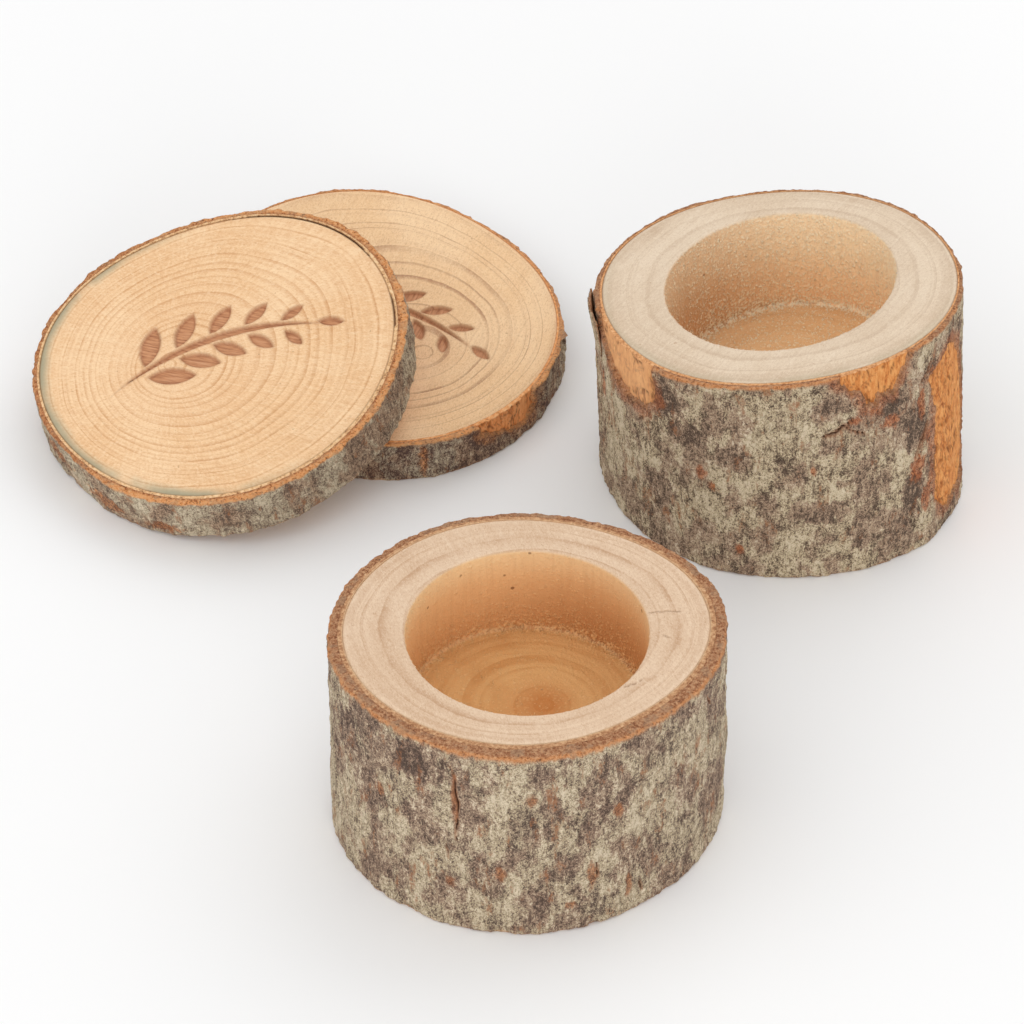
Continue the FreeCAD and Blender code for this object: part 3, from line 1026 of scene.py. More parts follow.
def broken_bark(r, grain, tones):
    """Raw bark: brown and granular, orange towards the outside where the mesh says that it is
    bright, with dark holes and grey weathered clumps."""
    granular = r.noise(grain, 0.5, 4.0, 0.75)
    clumps = r.noise(grain, 2.4, 3.0, 0.6)
    torn = r.ramp(granular, (0.3, tones.raw_dark), (0.44, tones.raw_brown), (0.6, tones.raw_tan),
                  (0.72, tones.raw_pale))
    reach = r.plus(r.attribute("across"), r.scaled(clumps, 0.36, -0.18))
    edge = r.times(r.band(reach, *tones.raw_edge), r.attribute("bright"))
    edge = r.times(edge, r.band(granular, 0.36, 0.46))
    bright = r.ramp(granular, (0.28, tones.raw_brown), (0.42, tones.raw), (0.7, tones.raw_pale))
    torn = r.mix(edge, torn, bright)
    holes = r.band(r.noise(grain, 0.6, 3.0, 0.7), 0.62, 0.7)
    torn = r.mix(holes, torn, tones.deep, tones.holes)
    return r.mix(r.band(clumps, 0.5, 0.62), torn, tones.rim_grey, tones.grey_rim)


def bark_material(name, tones):
    """Weathered bark: one tone from dark to cream, built from clouds of every size, that crowds
    into lichen patches, with sparse rust, rusty spots, raw edges and dark cracks."""
    r = Recipe(name)
    grain = r.attribute("grain", vector=True)
    patch = r.attribute("patch")
    tall = r.stretch(grain, (1.0, 1.0, 1.3))
    streaky = r.stretch(grain, (1.0, 1.0, 6.0))

    clouds = r.noise(tall, 7.0, 3.0, 0.6)
    blots = r.noise(tall, 1.9, 3.0, 0.65, 0.8)
    flecks = r.noise(tall, 0.56, 4.0, 0.75, 1.0)
    finer = r.noise(tall, 0.24, 3.0, 0.7)
    streak = r.noise(streaky, 0.85, 4.0, 0.7)
    tone = r.scaled(patch, tones.patch_share, tones.lichen - 0.5 * tones.patch_share)
    for part, share in ((clouds, 0.45), (blots, 0.7), (flecks, 1.25), (finer, 1.1), (streak, 0.66)):
        tone = r.plus(tone, r.scaled(part, share, -0.5 * share))
    tone = r.plus(tone, 0.5)
    greenish = r.ramp(tone, (0.26, tones.dark), (0.4, tones.ground), (0.52, tones.khaki),
                      (0.64, tones.cream), (0.82, tones.glint))
    warmish = r.ramp(tone, (0.26, tones.dark), (0.4, tones.warm_ground), (0.52, tones.streak),
                     (0.66, tones.warm_pale), (0.82, tones.glint))
    hue = r.scaled(patch, 0.25, r.scaled(r.noise(tall, 5.0, 4.0, 0.65), 1.0, -0.12))
    colour = r.mix(r.band(hue, 0.36, 0.56), warmish, greenish)
    rusty = r.noise(r.stretch(grain, (1.0, 1.0, 2.6)), 2.6, 4.0, 0.7)
    rust = r.times(r.band(rusty, 0.56, 0.66), r.band(flecks, 0.4, 0.56))
    colour = r.mix(rust, colour, tones.rust, tones.rust_share)
    spot_tone = r.ramp(flecks, (0.4, tones.raw_dark), (0.5, tones.spot), (0.64, tones.raw))
    colour = r.mix(r.attribute("spots"), colour, spot_tone, 0.75)

    colour = r.mix(r.attribute("raw"), colour, broken_bark(r, grain, tones))
    colour = r.mix(r.attribute("warm"), colour, tones.raw_brown, 0.55)
    # The crack value darkens real cracks and paints shade under the lips of the peeled places.
    colour = r.mix(r.band(r.attribute("crack"), 0.15, 0.8), colour, tones.deep, 0.9)

    height = r.times(blots, 0.4)
    height = r.scaled(flecks, 0.42, height)
    height = r.scaled(finer, 0.14, height)
    height = r.scaled(streak, 0.3, height)
    roughness = r.scaled(flecks, 0.15, 0.8)
    return r.finish(colour, roughness, height, 0.2)


def inner_bark_material(name, tones):
    """The layer under the bark: long torn fibres, bright orange with dark red-brown cracks."""
    r = Recipe(name)
    grain = r.attribute("grain", vector=True)
    fibre = r.noise(r.stretch(grain, (1.0, 1.0, 5.0)), 0.55, 5.0, 0.7)
    flake = r.noise(grain, 1.6, 4.0, 0.6)
    colour = r.ramp(fibre, (0.28, tones.dark), (0.42, tones.middle), (0.66, tones.pale))
    colour = r.mix(r.band(flake, 0.5, 0.7), colour, tones.pale, 0.45)
    colour = r.mix(r.band(flake, 0.44, 0.34), colour, tones.dark, 0.5)
    # Painted light: paler fibres on the lit sides.
    colour = r.mix(r.attribute("pale"), colour, tones.torn_pale, 0.35)
    sides = r.band(r.attribute("below"), 0.05, 0.3)
    cracks = r.times(r.attribute("tears"), r.band(fibre, 0.3, 0.5))
    colour = r.mix(cracks, colour, tones.crack, 0.8)
    # Painted shade in the creases of the crumpled places.
    colour = r.mix(r.attribute("crumple"), colour, tones.fold, 0.6)
    granular = r.noise(grain, 0.6, 4.0, 0.7)
    ring = r.ramp(granular, (0.32, tones.ring_dark), (0.48, tones.ring), (0.66, tones.ring_pale))
    line = r.band(r.attribute("across"), 0.1, 0.03)
    ring = r.mix(line, ring, tones.line, tones.line_share)
    colour = r.mix(sides, ring, colour)
    colour = r.mix(r.attribute("seam"), colour, tones.crack)
    height = r.scaled(fibre, 0.22, r.times(granular, 0.12))
    return r.finish(colour, r.scaled(fibre, 0.2, 0.7), height, 0.2)


def ring_lines(r, rings, wander, patchy, tones):
    """Growth rings: how far each point is into dark late wood, and fainter lines between."""
    uneven = r.scaled(r.line_noise(rings, 7.0), 3.6 * tones.spacing, rings)
    waved = r.scaled(wander, 0.28 * tones.spacing, uneven)
    count = r.sum("DIVIDE", waved, tones.spacing)
    phase = r.sum("FRACT", count)
    late = r.times(r.band(phase, tones.late, 0.93), r.band(phase, 1.0, 0.95))
    strength = r.scaled(r.chance(r.sum("FLOOR", count)), 0.75, 0.25)
    line = r.times(r.times(late, strength), r.scaled(patchy, 0.7, 0.3))
    faint = r.band(r.line_noise(waved, 0.8, 3.0), 0.42, 0.66)
    return line, faint


def stained_rim(r, colour, outwards, cloud, tones):
    """Lays the damp stains near the bark, the rim beside it and the splits over a colour."""
    gap = r.attribute("gap")
    sapwood = r.plus(gap, r.scaled(cloud, 3.0, -1.5))
    stained = r.times(r.band(sapwood, tones.stain_width, 0.1), tones.stain_share)
    where = r.times(r.attribute("stain"), r.band(r.noise(outwards, 0.5, 2.0, 0.5), 0.3, 0.5))
    colour = r.mix(stained, colour, tones.stain, where)
    colour = r.mix(r.band(gap, 0.32, 0.1), colour, tones.rim, tones.rim_share)
    return r.mix(r.attribute("split"), colour, tones.split, 0.5)


def engraved(r, colour, grain, tones):
    """Lays the burnt engraving and the scorched wood round it over a colour."""
    fibres = r.noise(r.stretch(grain, (0.35, 4.0, 1.0), tones.saw_turn), 1.0, 3.0, 0.6)
    burnt = r.ramp(fibres, (0.3, tones.burn_dark), (0.55, tones.burn), (0.75, tones.burn_pale))
    colour = r.mix(r.attribute("burn"), colour, burnt)
    return r.mix(r.attribute("scorch"), colour, tones.burn_dark, 0.4)


def pocket_face(r, grain, upright, stipple, specks, floor, tones):
    """The colour inside a pocket: a streaky wall with painted shade over a given floor, with crumbs on
    both.
    """
    # The wall's honey colour darkens with depth, which is painted shade deeper in the pocket.
    wall = r.ramp(r.attribute("down"),
                  (0.0, tones.wall_high), (0.35, tones.wall), (0.9, tones.wall_low))
    wall = r.mix(r.band(upright, 0.45, 0.7), wall, tones.wall_dark, 0.1)
    wall = r.mix(r.band(upright, 0.45, 0.3), wall, tones.crumb, 0.12)
    # Painted shade: darker on one side of the wall, more so deeper down.
    wall = r.mix(r.attribute("shade"), wall, tones.wall_dark, tones.shade_share)
    pocket = r.mix(r.attribute("floor"), wall, floor)
    dots = r.band(r.cells(grain, 5.5), 0.075, 0.045)
    pocket = r.mix(dots, pocket, tones.dot, 0.7)
    pocket = r.mix(r.band(stipple, 0.5, 0.7), pocket, tones.wall_dark, tones.stipple)
    pocket = r.mix(specks, pocket, tones.crumb, tones.specks)
    # Painted shade in the hollows among the crumbs round the floor's edge.
    pocket = r.mix(r.attribute("hollow"), pocket, tones.dot, 0.22)
    loose = r.times(r.band(r.attribute("crumb"), 0.03, 0.2), tones.crumb_share)
    return r.mix(loose, pocket, tones.crumb)


def wood_material(name, tones):
    """End grain: growth rings, rays from the pith, saw marks and stains near the bark. On a lid
    the engraving is burnt brown, and inside a pocket the wood is honey-coloured with crumbs and painted
    shade."""
    r = Recipe(name)
    grain = r.attribute("grain", vector=True)
    rings = r.attribute("rings")
    inside = r.attribute("inside")
    outwards = r.directed(grain)
    cloud = r.noise(grain, 14.0, 3.0, 0.55)
    wander = r.scaled(r.noise(grain, 5.0, 3.0, 0.5), 0.8, -0.4)
    patchy = r.band(r.noise(grain, 11.0, 3.0, 0.6), 0.34, 0.62)
    line, faint = ring_lines(r, rings, wander, patchy, tones)
    rays = r.noise(r.raised(outwards, r.times(rings, 0.012)), 0.022, 3.0, 0.6)
    pores = r.band(r.noise(grain, 0.45, 2.0, 0.6), 0.6, 0.74)
    fine = r.noise(r.stretch(grain, (0.6, 1.5, 1.0), tones.saw_turn), 0.32, 3.0, 0.75)
    saw = r.noise(r.stretch(grain, (0.6, 16.0, 1.0), tones.saw_turn), 1.0, 3.0, 0.6)
    fleck = r.band(r.noise(grain, 1.1, 2.0, 0.7), 0.71, 0.76)

    colour = r.mix(r.band(cloud, 0.36, 0.64), tones.pale, tones.tan)
    heart = r.band(rings, tones.heart + 3.0, tones.heart - 3.0)
    colour = r.mix(heart, colour, tones.heart_tone, tones.heart_share)
    colour = r.mix(line, colour, tones.ring, tones.contrast)
    colour = r.mix(faint, colour, tones.ring, tones.faint)
    colour = r.mix(r.band(rays, 0.5, 0.7), colour, tones.ring, tones.rays)
    colour = r.mix(r.band(rays, 0.47, 0.33), colour, tones.light, tones.rays)
    colour = r.mix(pores, colour, tones.ring, tones.pores)
    colour = r.mix(r.band(fine, 0.5, 0.72), colour, tones.ring, tones.grainy)
    colour = r.mix(r.band(fine, 0.5, 0.28), colour, tones.light, tones.grainy)
    colour = r.mix(r.band(saw, 0.52, 0.7), colour, tones.ring, tones.saw)
    colour = r.mix(r.band(saw, 0.46, 0.32), colour, tones.light, tones.saw)
    colour = r.mix(fleck, colour, tones.fleck, 0.55)
    colour = stained_rim(r, colour, outwards, cloud, tones)
    colour = engraved(r, colour, grain, tones)

    upright = r.noise(r.stretch(grain, (1.0, 1.0, 14.0)), 0.9, 4.0, 0.6)
    stipple = r.noise(grain, 0.3, 2.0, 0.6)
    specks = r.band(r.cells(grain, 0.75), 0.42, 0.2)
    specks = r.times(specks, r.band(r.noise(grain, 1.6, 3.0, 0.7), 0.42, 0.6))
    floor = r.mix(line, tones.floor, tones.floor_ring, 0.6)
    floor = r.mix(r.band(cloud, 0.45, 0.62), floor, tones.floor_ring, 0.4)
    floor = r.mix(r.band(r.scaled(wander, 1.2, rings), 8.5, 0.5), floor, tones.pith, tones.pith_share)
    pocket = pocket_face(r, grain, upright, stipple, specks, floor, tones)
    colour = r.mix(inside, colour, pocket)

    height = r.times(line, -0.02)
    height = r.scaled(saw, tones.saw_height, height)
    height = r.scaled(stipple, 0.08, height)
    height = r.scaled(r.times(specks, inside), tones.pocket_grain, height)
    height = r.scaled(upright, r.times(inside, 0.04), height)
    height = r.scaled(fine, 0.06, height)
    return r.finish(colour, r.scaled(cloud, 0.2, 0.5), height, 0.3)


# --- The four slices ---

FRONT_HOLDER = Slice(
    "front_holder", radius=28.5, swells=[(2, 1.37, 8.0), (3, 0.36, 13.0), (4, 0.30, 8.0)],
    bark=2.65, bark_swing=(0.74, -70.0), height=39.8, taper=0.988, pith=(3.4, 0.2), seed=100,
)
REAR_HOLDER = Slice(
    "rear_holder", radius=29.3, swells=[(2, 1.43, -21.0), (3, 0.10, 6.0), (4, 0.29, -32.0)],
    bark=1.05, bark_swing=(0.55, -113.0), height=41.2, rise=(0.128, -0.075), foot=(1.3, 0.5),
    pith=(2.0, 3.0), stain_side=250.0, seed=200,
)
FLAT_LID = Slice(
    "flat_lid", radius=33.5, swells=[(2, 1.74, -51.0), (3, 0.31, -56.0), (4, 0.48, 5.0)],
    bark=0.85, bark_swing=(0.55, -74.0), height=8.1, pith=(10.2, -11.3), seed=300,
)
LEANING_LID = Slice(
    "leaning_lid", radius=31.0, swells=[(2, 0.67, 17.0), (3, 0.71, 44.0), (4, 0.14, -20.0)],
    bark=1.6, bark_swing=(0.37, -27.0), height=9.4, pith=(-9.0, -1.0), lean=LEAN_TILT,
    stain_side=200.0, seed=400,
)


# --- The bark of each slice ---
# Angles and heights say where. A window is a middle angle and the corners of its outline, as
# degrees from that middle and heights. A crack is a width and the points it runs through. A
# notch is an angle, a height, a size and a depth. A stain or a spot is an angle, a height, and
# half its width and height. A seam is an angle, half its width in degrees and a depth.

PEELED_WINDOWS = [
    (208.0, [(-26, 38.0), (-17, 34.5), (-8, 31.2), (3, 29.2), (12, 30.2), (16, 33.5), (15, 37.5),
             (11, 48.0), (-26, 48.0)]),
    (298.0, [(-9, 42.5), (-6, 41.0), (-2, 40.5), (-1, 37.2), (2.5, 37.0), (4, 39.0), (9, 38.0),
             (11, 40.5), (15, 44.5), (18, 50.0), (-10, 50.0)]),
    (336.0, [(-11, 30.0), (-11, 8.0), (-4, 3.5), (2, 4.5), (16, 4.0), (15, 20.0), (5, 37.0),
             (-3, 41.0), (-8, 39.0), (-14, 36.5), (-12, 33.5)]),
]

PLAIN_BARK = Look(
    windows=[], crumpled=[], pale_sides=[], seams=[], cracks=[], notches=[], stains=[], spots=[],
)
FRONT_BARK = PLAIN_BARK.but(
    rows=BARK_ROWS, top_rows=8, chip=0.75, foot_chip=0.5, swell=0.32, lumps=0.22,
    raw_rim=1.25, raw_foot=0.5, bright_rim=(250.0, 110.0),
    cracks=[
        (0.2, [(248.0, 35.5), (248.8, 31.0), (249.6, 27.0), (249.0, 20.0)]),
        (0.16, [(245.8, 18.5), (246.2, 15.5)]),
        (0.18, [(292.4, 14.0), (293.2, 10.8)]),
        (0.18, [(308.2, 6.0), (308.9, 3.5)]),
        (0.18, [(338.0, 36.0), (340.5, 33.0)]),
    ],
    notches=[(262.5, 0.4, 1.9, 0.9), (232.0, 0.2, 1.5, 0.6), (292.0, 0.1, 1.4, 0.5)],
    stains=[
        (236.0, 34.5, 4.6, 4.0), (206.0, 30.0, 2.6, 5.0), (50.0, 28.0, 4.0, 4.0),
        (140.0, 12.0, 4.0, 4.0),
    ],
    spots=[
        (272.0, 30.4, 0.9, 1.2), (262.5, 13.7, 1.0, 1.4), (300.0, 24.0, 0.8, 1.6),
        (291.0, 12.1, 0.7, 2.6), (304.0, 6.5, 0.6, 3.0), (222.0, 23.8, 0.8, 1.4),
        (248.6, 29.0, 0.6, 5.0), (247.0, 10.0, 0.8, 1.0), (284.0, 6.0, 0.8, 0.8),
        (25.0, 20.0, 1.0, 1.8), (75.0, 12.0, 0.7, 2.4), (120.0, 28.0, 1.0, 1.5),
        (165.0, 17.0, 0.8, 2.0),
    ],
)
REAR_BARK = PLAIN_BARK.but(
    rows=BARK_ROWS, top_rows=5, chip=0.35, foot_chip=0.45, swell=0.36, lumps=0.28,
    raw_rim=0.6, raw_foot=0.3, bright_rim=(265.0, 62.0),
    windows=PEELED_WINDOWS, crumpled=[(292.0, 4.0), (328.0, 5.0)], pale_sides=[(200.0, 15.0)],
    cracks=[
        (0.36, [(282.8, 31.6), (287.0, 32.4), (292.5, 34.6)]),
        (0.38, [(315.6, 20.9), (318.4, 24.4), (321.0, 27.8)]),
        (0.28, [(317.0, 22.6), (319.8, 25.6)]),
        (0.25, [(318.0, 37.0), (321.0, 39.0), (322.5, 40.5)]),
        (0.2, [(290.0, 33.4), (293.5, 31.8), (297.5, 31.0)]),
    ],
    stains=[
        (228.0, 34.5, 4.5, 3.4), (236.0, 29.0, 3.0, 2.6), (285.5, 38.0, 3.4, 1.6),
        (305.0, 35.2, 2.4, 2.0), (315.0, 28.0, 2.4, 5.0), (314.0, 14.0, 2.2, 4.0),
        (252.0, 27.0, 2.2, 2.0), (281.0, 15.0, 4.0, 2.4), (225.0, 14.0, 3.0, 4.0),
        (40.0, 26.0, 4.0, 5.0), (110.0, 20.0, 4.0, 4.0), (160.0, 30.0, 3.5, 4.0),
    ],
    spots=[
        (242.0, 21.4, 1.0, 1.5), (245.5, 19.6, 0.6, 0.8), (306.0, 31.8, 1.6, 1.4),
        (316.6, 18.6, 2.0, 2.6), (320.5, 11.0, 1.2, 3.0), (318.5, 32.5, 0.9, 3.2),
        (293.7, 34.3, 1.2, 0.8), (280.0, 24.0, 0.6, 0.7), (255.0, 6.0, 0.7, 1.0),
        (190.0, 24.0, 1.0, 3.0), (30.0, 16.0, 1.2, 2.0), (80.0, 27.0, 0.8, 1.4),
        (130.0, 14.0, 1.0, 2.2),
    ],
)
FLAT_LID_BARK = PLAIN_BARK.but(
    rows=LID_BARK_ROWS, top_rows=5, chip=0.3, foot_chip=0.35, swell=0.4, lumps=0.3,
    raw_rim=0.5, raw_foot=0.3, bright_rim=(290.0, 60.0),
    windows=[(-46.0, [(-11, 6.2), (-5, 4.6), (0, 3.4), (6, 2.6), (11, 5.0), (10, 12.0), (-13, 12.0)])],
    crumpled=[(-50.0, 4.0)],
    notches=[(-12.0, 7.0, 2.5, 0.6), (30.0, 6.0, 2.0, 0.5)],
    spots=[
        (246.0, 3.5, 0.8, 4.0), (286.0, 4.5, 0.7, 3.4), (40.0, 4.0, 2.5, 1.5),
        (130.0, 3.0, 3.0, 2.0),
    ],
)
LEANING_LID_BARK = PLAIN_BARK.but(
    rows=LID_BARK_ROWS, top_rows=6, chip=0.4, foot_chip=0.4, swell=0.5, lumps=0.36,
    raw_rim=0.4, raw_foot=0.3, bright_rim=(345.0, 120.0),
    notches=[(175.0, 7.0, 2.2, 0.5), (150.0, 7.5, 2.4, 0.6), (128.0, 7.0, 2.0, 0.5)],
    seams=[(58.0, 26.0, 0.7), (8.0, 8.0, 0.4)],
    spots=[
        (228.0, 3.0, 4.0, 1.8), (250.0, 2.0, 3.0, 1.2), (205.0, 5.0, 4.0, 2.0),
        (100.0, 4.0, 3.0, 2.0),
    ],
)


# --- The pocket of each holder ---
# A split is a width and the points (x, y) that it runs through. A tuft is an angle, a height
# above the floor, half its width in degrees, half its height and how far it stands out.

# The shaded side, the shade's spread and its share at the mouth place the painted shade on the wall.
FRONT_POCKET = Look(
    top_rings=26, wall_rows=77, saw_turn=20.0, loose=0.15, flutes=0.012,
    fuzz=0.06, floor_fuzz=0.2, side_fuzz=0.0, fuzzy_side=60.0,
    dark_side=15.0, dark_spread=(-0.35, 1.0), dark_mouth=0.4, tufts=[],
    splits=[
        (0.09, [(20.6, 4.0), (23.0, 4.6), (25.5, 4.4)]),
        (0.08, [(22.6, -1.2), (23.8, -2.2)]),
        (0.08, [(15.8, -14.2), (19.5, -12.0)]),
    ],
)
REAR_POCKET = Look(
    top_rings=22, wall_rows=81, saw_turn=-35.0, loose=0.35, flutes=0.02,
    fuzz=0.3, floor_fuzz=0.0, side_fuzz=0.35, fuzzy_side=60.0,
    dark_side=190.0, dark_spread=(-0.6, 0.95), dark_mouth=0.6,
    tufts=[(183.0, 8.5, 3.2, 1.2, 0.9)], splits=[],
)


# --- Colours ---

BARK_TONES = Look(
    lichen=0.03, patch_share=0.1,
    dark=(88, 72, 62), ground=(130, 111, 97), warm_ground=(130, 106, 92),
    khaki=(178, 158, 129), streak=(160, 134, 112), cream=(202, 184, 154),
    warm_pale=(192, 168, 142), glint=(228, 212, 186),
    rust=(160, 104, 68), rust_share=0.8, spot=(158, 102, 70),
    raw_dark=(100, 58, 38), raw_brown=(170, 112, 76), raw_tan=(208, 160, 120),
    raw=(206, 134, 80), raw_pale=(228, 176, 130), raw_edge=(0.8, 0.95), holes=0.75,
    deep=(62, 36, 26), grey_rim=0.4, rim_grey=(170, 142, 116),
)
INNER_TONES = Look(
    dark=(164, 90, 42), middle=(220, 136, 68), pale=(244, 176, 108),
    crack=(84, 38, 22), fold=(128, 60, 34), torn_pale=(252, 206, 160),
    ring_dark=(140, 92, 62), ring=(188, 138, 98), ring_pale=(222, 180, 138),
    line=(232, 200, 160), line_share=0.5,
)
WOOD_TONES = Look(
    pale=(229, 200, 170), tan=(221, 190, 159), light=(242, 220, 194),
    ring=(182, 138, 100), heart=8.0, heart_share=0.0, heart_tone=(226, 176, 132),
    spacing=2.5, late=0.4, contrast=0.85, faint=0.16, rays=0.1, pores=0.2, saw=0.1,
    grainy=0.5, saw_turn=20.0, saw_height=0.05, fleck=(176, 130, 92),
    stain=(150, 146, 118), stain_width=1.8, stain_share=0.0,
    rim=(236, 208, 172), rim_share=0.5, split=(150, 104, 70),
    burn=(204, 146, 104), burn_dark=(158, 102, 70), burn_pale=(214, 162, 126),
    # wall_high, wall and wall_low darken down a pocket's wall as painted shade.
    wall_high=(250, 218, 168), wall=(244, 198, 144), wall_low=(234, 182, 128),
    # wall_dark colours the wall's streaks and stipple, and its painted shade.
    wall_dark=(170, 106, 54), crumb=(255, 210, 150), crumb_share=0.6,
    shade_share=0.64, floor=(230, 182, 122), floor_ring=(202, 140, 78),
    # dot colours the dark dots and the painted shade in the hollows.
    pith=(192, 112, 42), pith_share=0.7, dot=(120, 74, 40), stipple=0.1, specks=0.25,
    pocket_grain=0.05,
)
REAR_WOOD_TONES = WOOD_TONES.but(
    pale=(230, 209, 183), tan=(221, 198, 171), light=(244, 228, 206),
    ring=(186, 156, 126), contrast=0.45, saw=0.14, saw_turn=-35.0, spacing=3.1,
    stain=(176, 164, 134), stain_width=2.2, stain_share=0.4, rim=(140, 122, 94),
    rim_share=0.15, wall_high=(255, 230, 190), wall=(255, 228, 186),
    wall_low=(255, 212, 164), wall_dark=(172, 106, 54), crumb=(255, 243, 212),
    crumb_share=0.75, floor=(236, 192, 142), floor_ring=(218, 170, 120), pith_share=0.0,
    stipple=0.2, specks=0.6, pocket_grain=0.1,
)
LEANING_WOOD_TONES = WOOD_TONES.but(
    pale=(248, 211, 167), tan=(241, 199, 152), light=(255, 228, 190),
    ring=(204, 146, 94), spacing=1.6, late=0.58, contrast=0.85, faint=0.2, rays=0.22, heart=15.0,
    heart_share=0.22, heart_tone=(236, 188, 142), stain=(160, 156, 130), stain_width=2.4,
    stain_share=0.9, rim=(168, 130, 92), rim_share=0.4, saw=0.1, saw_turn=70.0,
)
FLAT_WOOD_TONES = WOOD_TONES.but(
    pale=(249, 212, 167), tan=(243, 202, 154), light=(254, 226, 188),
    ring=(178, 128, 92), spacing=3.0, late=0.72, contrast=0.95, faint=0.1, rays=0.06, saw=0.12,
    saw_turn=-20.0, heart=10.0, heart_share=0.12,
)
REAR_BARK_TONES = BARK_TONES.but(
    lichen=0.01, dark=(92, 76, 64), ground=(144, 124, 102),
    warm_ground=(140, 116, 98), khaki=(194, 174, 142), streak=(176, 148, 122),
    cream=(216, 198, 166), raw_edge=(0.45, 0.7), grey_rim=0.3, spot=(180, 98, 60),
)
LEANING_BARK_TONES = BARK_TONES.but(
    lichen=0.0, dark=(106, 88, 76), ground=(152, 132, 112),
    warm_ground=(152, 124, 102), khaki=(180, 163, 138), streak=(178, 150, 124),
    cream=(202, 186, 158), warm_pale=(198, 172, 144), raw_edge=(0.4, 0.7), grey_rim=0.3,
    raw_brown=(186, 118, 74), raw_tan=(220, 160, 110), raw=(230, 150, 86),
    raw_pale=(244, 194, 142),
)
FLAT_BARK_TONES = LEANING_BARK_TONES.but(
    lichen=-0.09, dark=(92, 72, 64), ground=(140, 118, 102),
    warm_ground=(148, 118, 98), khaki=(178, 160, 136), rust_share=0.9,
    raw_brown=(208, 142, 96), raw_tan=(240, 180, 128), raw=(244, 166, 100),
)
ORANGE_TONES = INNER_TONES.but(
    ring=(218, 156, 104), ring_pale=(240, 190, 140), ring_dark=(166, 106, 66),
    line=(170, 140, 100), line_share=0.2, dark=(140, 76, 40), middle=(206, 128, 66),
    pale=(236, 172, 106),
)
FLAT_INNER_TONES = ORANGE_TONES.but(
    dark=(176, 96, 50), middle=(230, 144, 82), pale=(250, 182, 122),
    ring=(240, 166, 104), ring_dark=(190, 116, 70), ring_pale=(250, 200, 148),
)
LEANING_INNER_TONES = INNER_TONES.but(
    ring=(230, 182, 132), ring_pale=(248, 214, 168), ring_dark=(150, 100, 64),
    line=(150, 132, 100), line_share=0.3,
)


# --- The bark flake and the bark splinter ---

def closed_strip(near, far, seed, rough):
    """A thin closed piece between two grids of points, with torn edges."""
    build = Build()
    wear = Noise(seed)
    near = near + rough * wear.layers(near / 1.2, 3)[..., None]
    far = far + rough * wear.layers(far / 1.0 + 30.0, 3)[..., None]
    front = build.add(far, raw=0.0, patch=0.5, across=1.0)
    back = build.add(near, raw=1.0, across=0.9)
    build.grid(front, around=False)
    build.grid(back, around=False)
    for edge in (np.s_[0], np.s_[-1], np.s_[:, 0], np.s_[:, -1]):
        build.grid(np.stack([front[edge], back[edge]]), around=False)
    return build


def rear_flake(piece):
    """A strip of bark whose foot is in the bark and whose top curls off it."""
    along = np.linspace(0.0, 1.0, 70)[None, :]
    up = np.linspace(0.0, 1.0, 60)[:, None]
    edge = Noise(piece.seed + 41)
    angle = blend(along, *FLAKE_SIDES) + 0.0 * up
    flat = np.zeros_like(angle)
    ragged = edge.layers(np.stack([angle / 3.0, flat, flat + 5.0], -1), 3)
    height = blend(up, FLAKE_FOOT, FLAKE_TOP + 1.2 * ragged)
    side = edge.layers(np.stack([height / 2.0, flat + 9.0, flat], -1), 3)
    angle = angle + 1.6 * side * (2.0 * along - 1.0)
    standoff = blend(up ** 1.4, -0.25, 0.55) + 0.25 * np.sin(math.pi * along) * up
    swell = np.sin(math.pi * np.clip(along, 0.06, 0.94)) ** 0.5
    thickness = FLAKE_THICKNESS * (0.35 + 0.65 * swell)
    near = piece.beside(angle, 1.0, standoff, height)
    far = piece.beside(angle, 1.0, standoff + thickness, height)
    return closed_strip(near, far, piece.seed + 42, 0.09)


def lid_splinter(piece):
    """A spike of bark with a triangular foot in the bark and its tip outside the rim."""
    foot = [piece.beside(np.array(angle), 1.0, -0.4, np.array(height))
            for angle, height in SPLINTER_FOOT]
    tip = np.array(SPLINTER_TIP)
    build = Build()
    turns = np.linspace(0.0, 3.0, 49)[:-1]
    corners = np.array(foot + foot[:1])
    ring = np.stack([np.interp(turns, range(4), corners[:, axis]) for axis in range(3)], -1)
    middle = ring.mean(0)
    ring = middle + (ring - middle) * 0.94
    wear = Noise(piece.seed + 43)
    rows = []
    for share in np.linspace(0.0, 0.97, 26):
        row = blend(share, ring, tip)
        row = row + 0.12 * (1.0 - share) * wear.layers(row / 0.7, 3)[:, None]
        rows.append(row)
    body = build.add(np.array(rows), raw=0.6, across=0.8)
    build.grid(body)
    for row, point in ((body[0], middle), (body[-1], tip)):
        centre = build.add(point[None], raw=0.6, across=0.8)
        onward = np.roll(row, -1)
        build.triangles.append(np.stack([row, onward, np.full(len(row), centre[0])], -1))
    return build


# --- Pieces ---

def add_slice(piece, shape, wood, style, wood_look, bark_look, inner_look):
    """The wood and both bark layers of one slice. It gives back the bark's material."""
    add_piece(piece, shape, "wood", wood, wood_material(piece.name + "_wood", wood_look))
    add_piece(piece, "inner_bark_ring", "inner_bark", inner_bark(piece, style),
              inner_bark_material(piece.name + "_inner_bark", inner_look))
    bark = bark_material(piece.name + "_outer_bark", bark_look)
    add_piece(piece, "bark_sleeve", "outer_bark", outer_bark(piece, style), bark)
    return bark


def add_front_holder():
    wood = holder_wood(FRONT_HOLDER, FRONT_POCKET_MIDDLE, FRONT_POCKET_DEPTH, FRONT_POCKET)
    add_slice(FRONT_HOLDER, "block", wood, FRONT_BARK, WOOD_TONES, BARK_TONES, INNER_TONES)


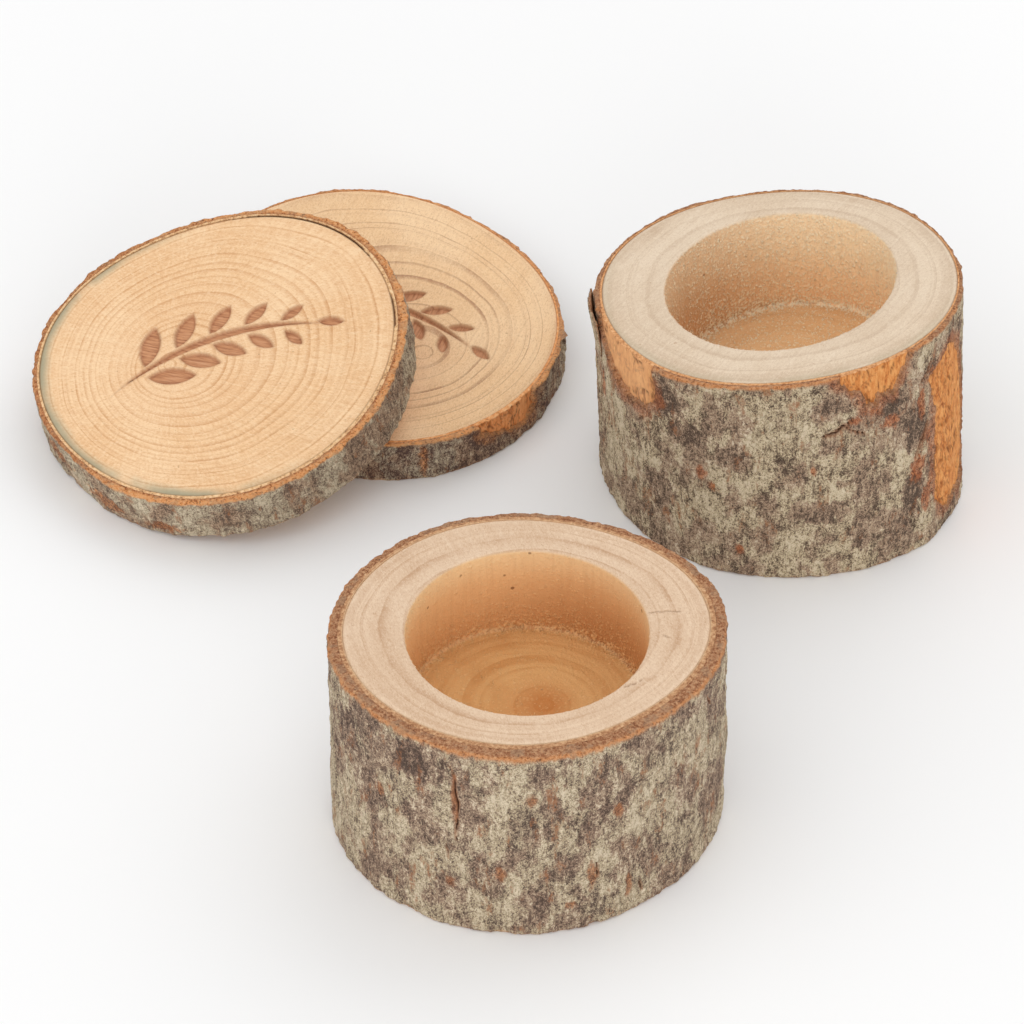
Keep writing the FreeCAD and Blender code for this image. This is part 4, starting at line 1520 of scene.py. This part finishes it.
def add_rear_holder():
    piece = REAR_HOLDER
    wood = holder_wood(piece, REAR_POCKET_MIDDLE, REAR_POCKET_DEPTH, REAR_POCKET)
    bark = add_slice(piece, "block", wood, REAR_BARK, REAR_WOOD_TONES, REAR_BARK_TONES, ORANGE_TONES)
    add_piece(piece, "lifted_flake", "bark_flake", rear_flake(piece), bark)


def add_flat_lid():
    piece = FLAT_LID
    wood = lid_wood(piece, FLAT_SPRIG_MIDDLE, FLAT_SPRIG_TURN)
    bark = add_slice(piece, "disc", wood, FLAT_LID_BARK, FLAT_WOOD_TONES, FLAT_BARK_TONES,
                     FLAT_INNER_TONES)
    add_piece(piece, "bark_spike", "bark_splinter", lid_splinter(piece), bark)


def add_leaning_lid():
    wood = lid_wood(LEANING_LID, LEANING_SPRIG_MIDDLE, LEANING_SPRIG_TURN)
    add_slice(LEANING_LID, "disc", wood, LEANING_LID_BARK, LEANING_WOOD_TONES,
              LEANING_BARK_TONES, LEANING_INNER_TONES)


# --- Stage, light and camera ---

def add_floor():
    """A pale floor, this many metres from its middle to each side."""
    size = 6.0
    mesh = bpy.data.meshes.new("floor")
    corners = [(-size, -size, 0.0), (size, -size, 0.0), (size, size, 0.0), (-size, size, 0.0)]
    mesh.from_pydata(corners, [], [(0, 1, 2, 3)])
    r = Recipe("pale_floor")
    cloud = r.noise(r.node("TexCoord", "Object", {}), 0.4, 2.0, 0.5)
    colour = r.ramp(cloud, (0.3, (246, 246, 246)), (0.7, (250, 250, 250)))
    r.finish(colour, 0.9, 0.0, 0.1)
    mesh.materials.append(r.material)
    floor = bpy.data.objects.new("floor", mesh)
    bpy.context.scene.collection.objects.link(floor)


def add_light(name, place, size, power):
    """A round soft light that faces the middle of the set."""
    target = (0.0, 0.07, 0.0)
    light = bpy.data.lights.new(name, "AREA")
    light.shape = "DISK"
    light.size = size
    light.energy = power
    lamp = bpy.data.objects.new(name, light)
    lamp.location = place
    lamp.rotation_euler = (Vector(target) - Vector(place)).to_track_quat("-Z", "Y").to_euler()
    bpy.context.scene.collection.objects.link(lamp)


def add_world():
    world = bpy.data.worlds.new("soft_white")
    world.use_nodes = True
    background = world.node_tree.nodes["Background"]
    background.inputs["Color"].default_value = (1.0, 1.0, 1.0, 1.0)
    background.inputs["Strength"].default_value = WORLD_STRENGTH
    bpy.context.scene.world = world
    bpy.context.scene.view_settings.view_transform = "Standard"


def add_camera():
    """A long lens from the front, looking down at the middle of the set."""
    pitch = math.radians(CAMERA_PITCH)
    camera = bpy.data.cameras.new("camera")
    camera.sensor_width = 36.0
    camera.lens = CAMERA_LENS
    holder = bpy.data.objects.new("camera", camera)
    away = Vector((0.0, -math.cos(pitch), math.sin(pitch)))
    holder.location = Vector(CAMERA_TARGET) + CAMERA_DISTANCE * away
    holder.rotation_euler = (math.radians(90.0) - pitch, 0.0, 0.0)
    bpy.context.scene.collection.objects.link(holder)
    bpy.context.scene.camera = holder


add_front_holder()
add_rear_holder()
add_flat_lid()
add_leaning_lid()
add_floor()
add_world()
add_light("key_softbox", (-0.75, -0.35, 0.95), 1.7, 3.1)
add_light("front_softbox", (0.1, -1.35, 0.35), 1.0, 5.8)
add_light("rear_softbox", (0.5, 0.8, 0.9), 1.5, 3.8)
add_camera()
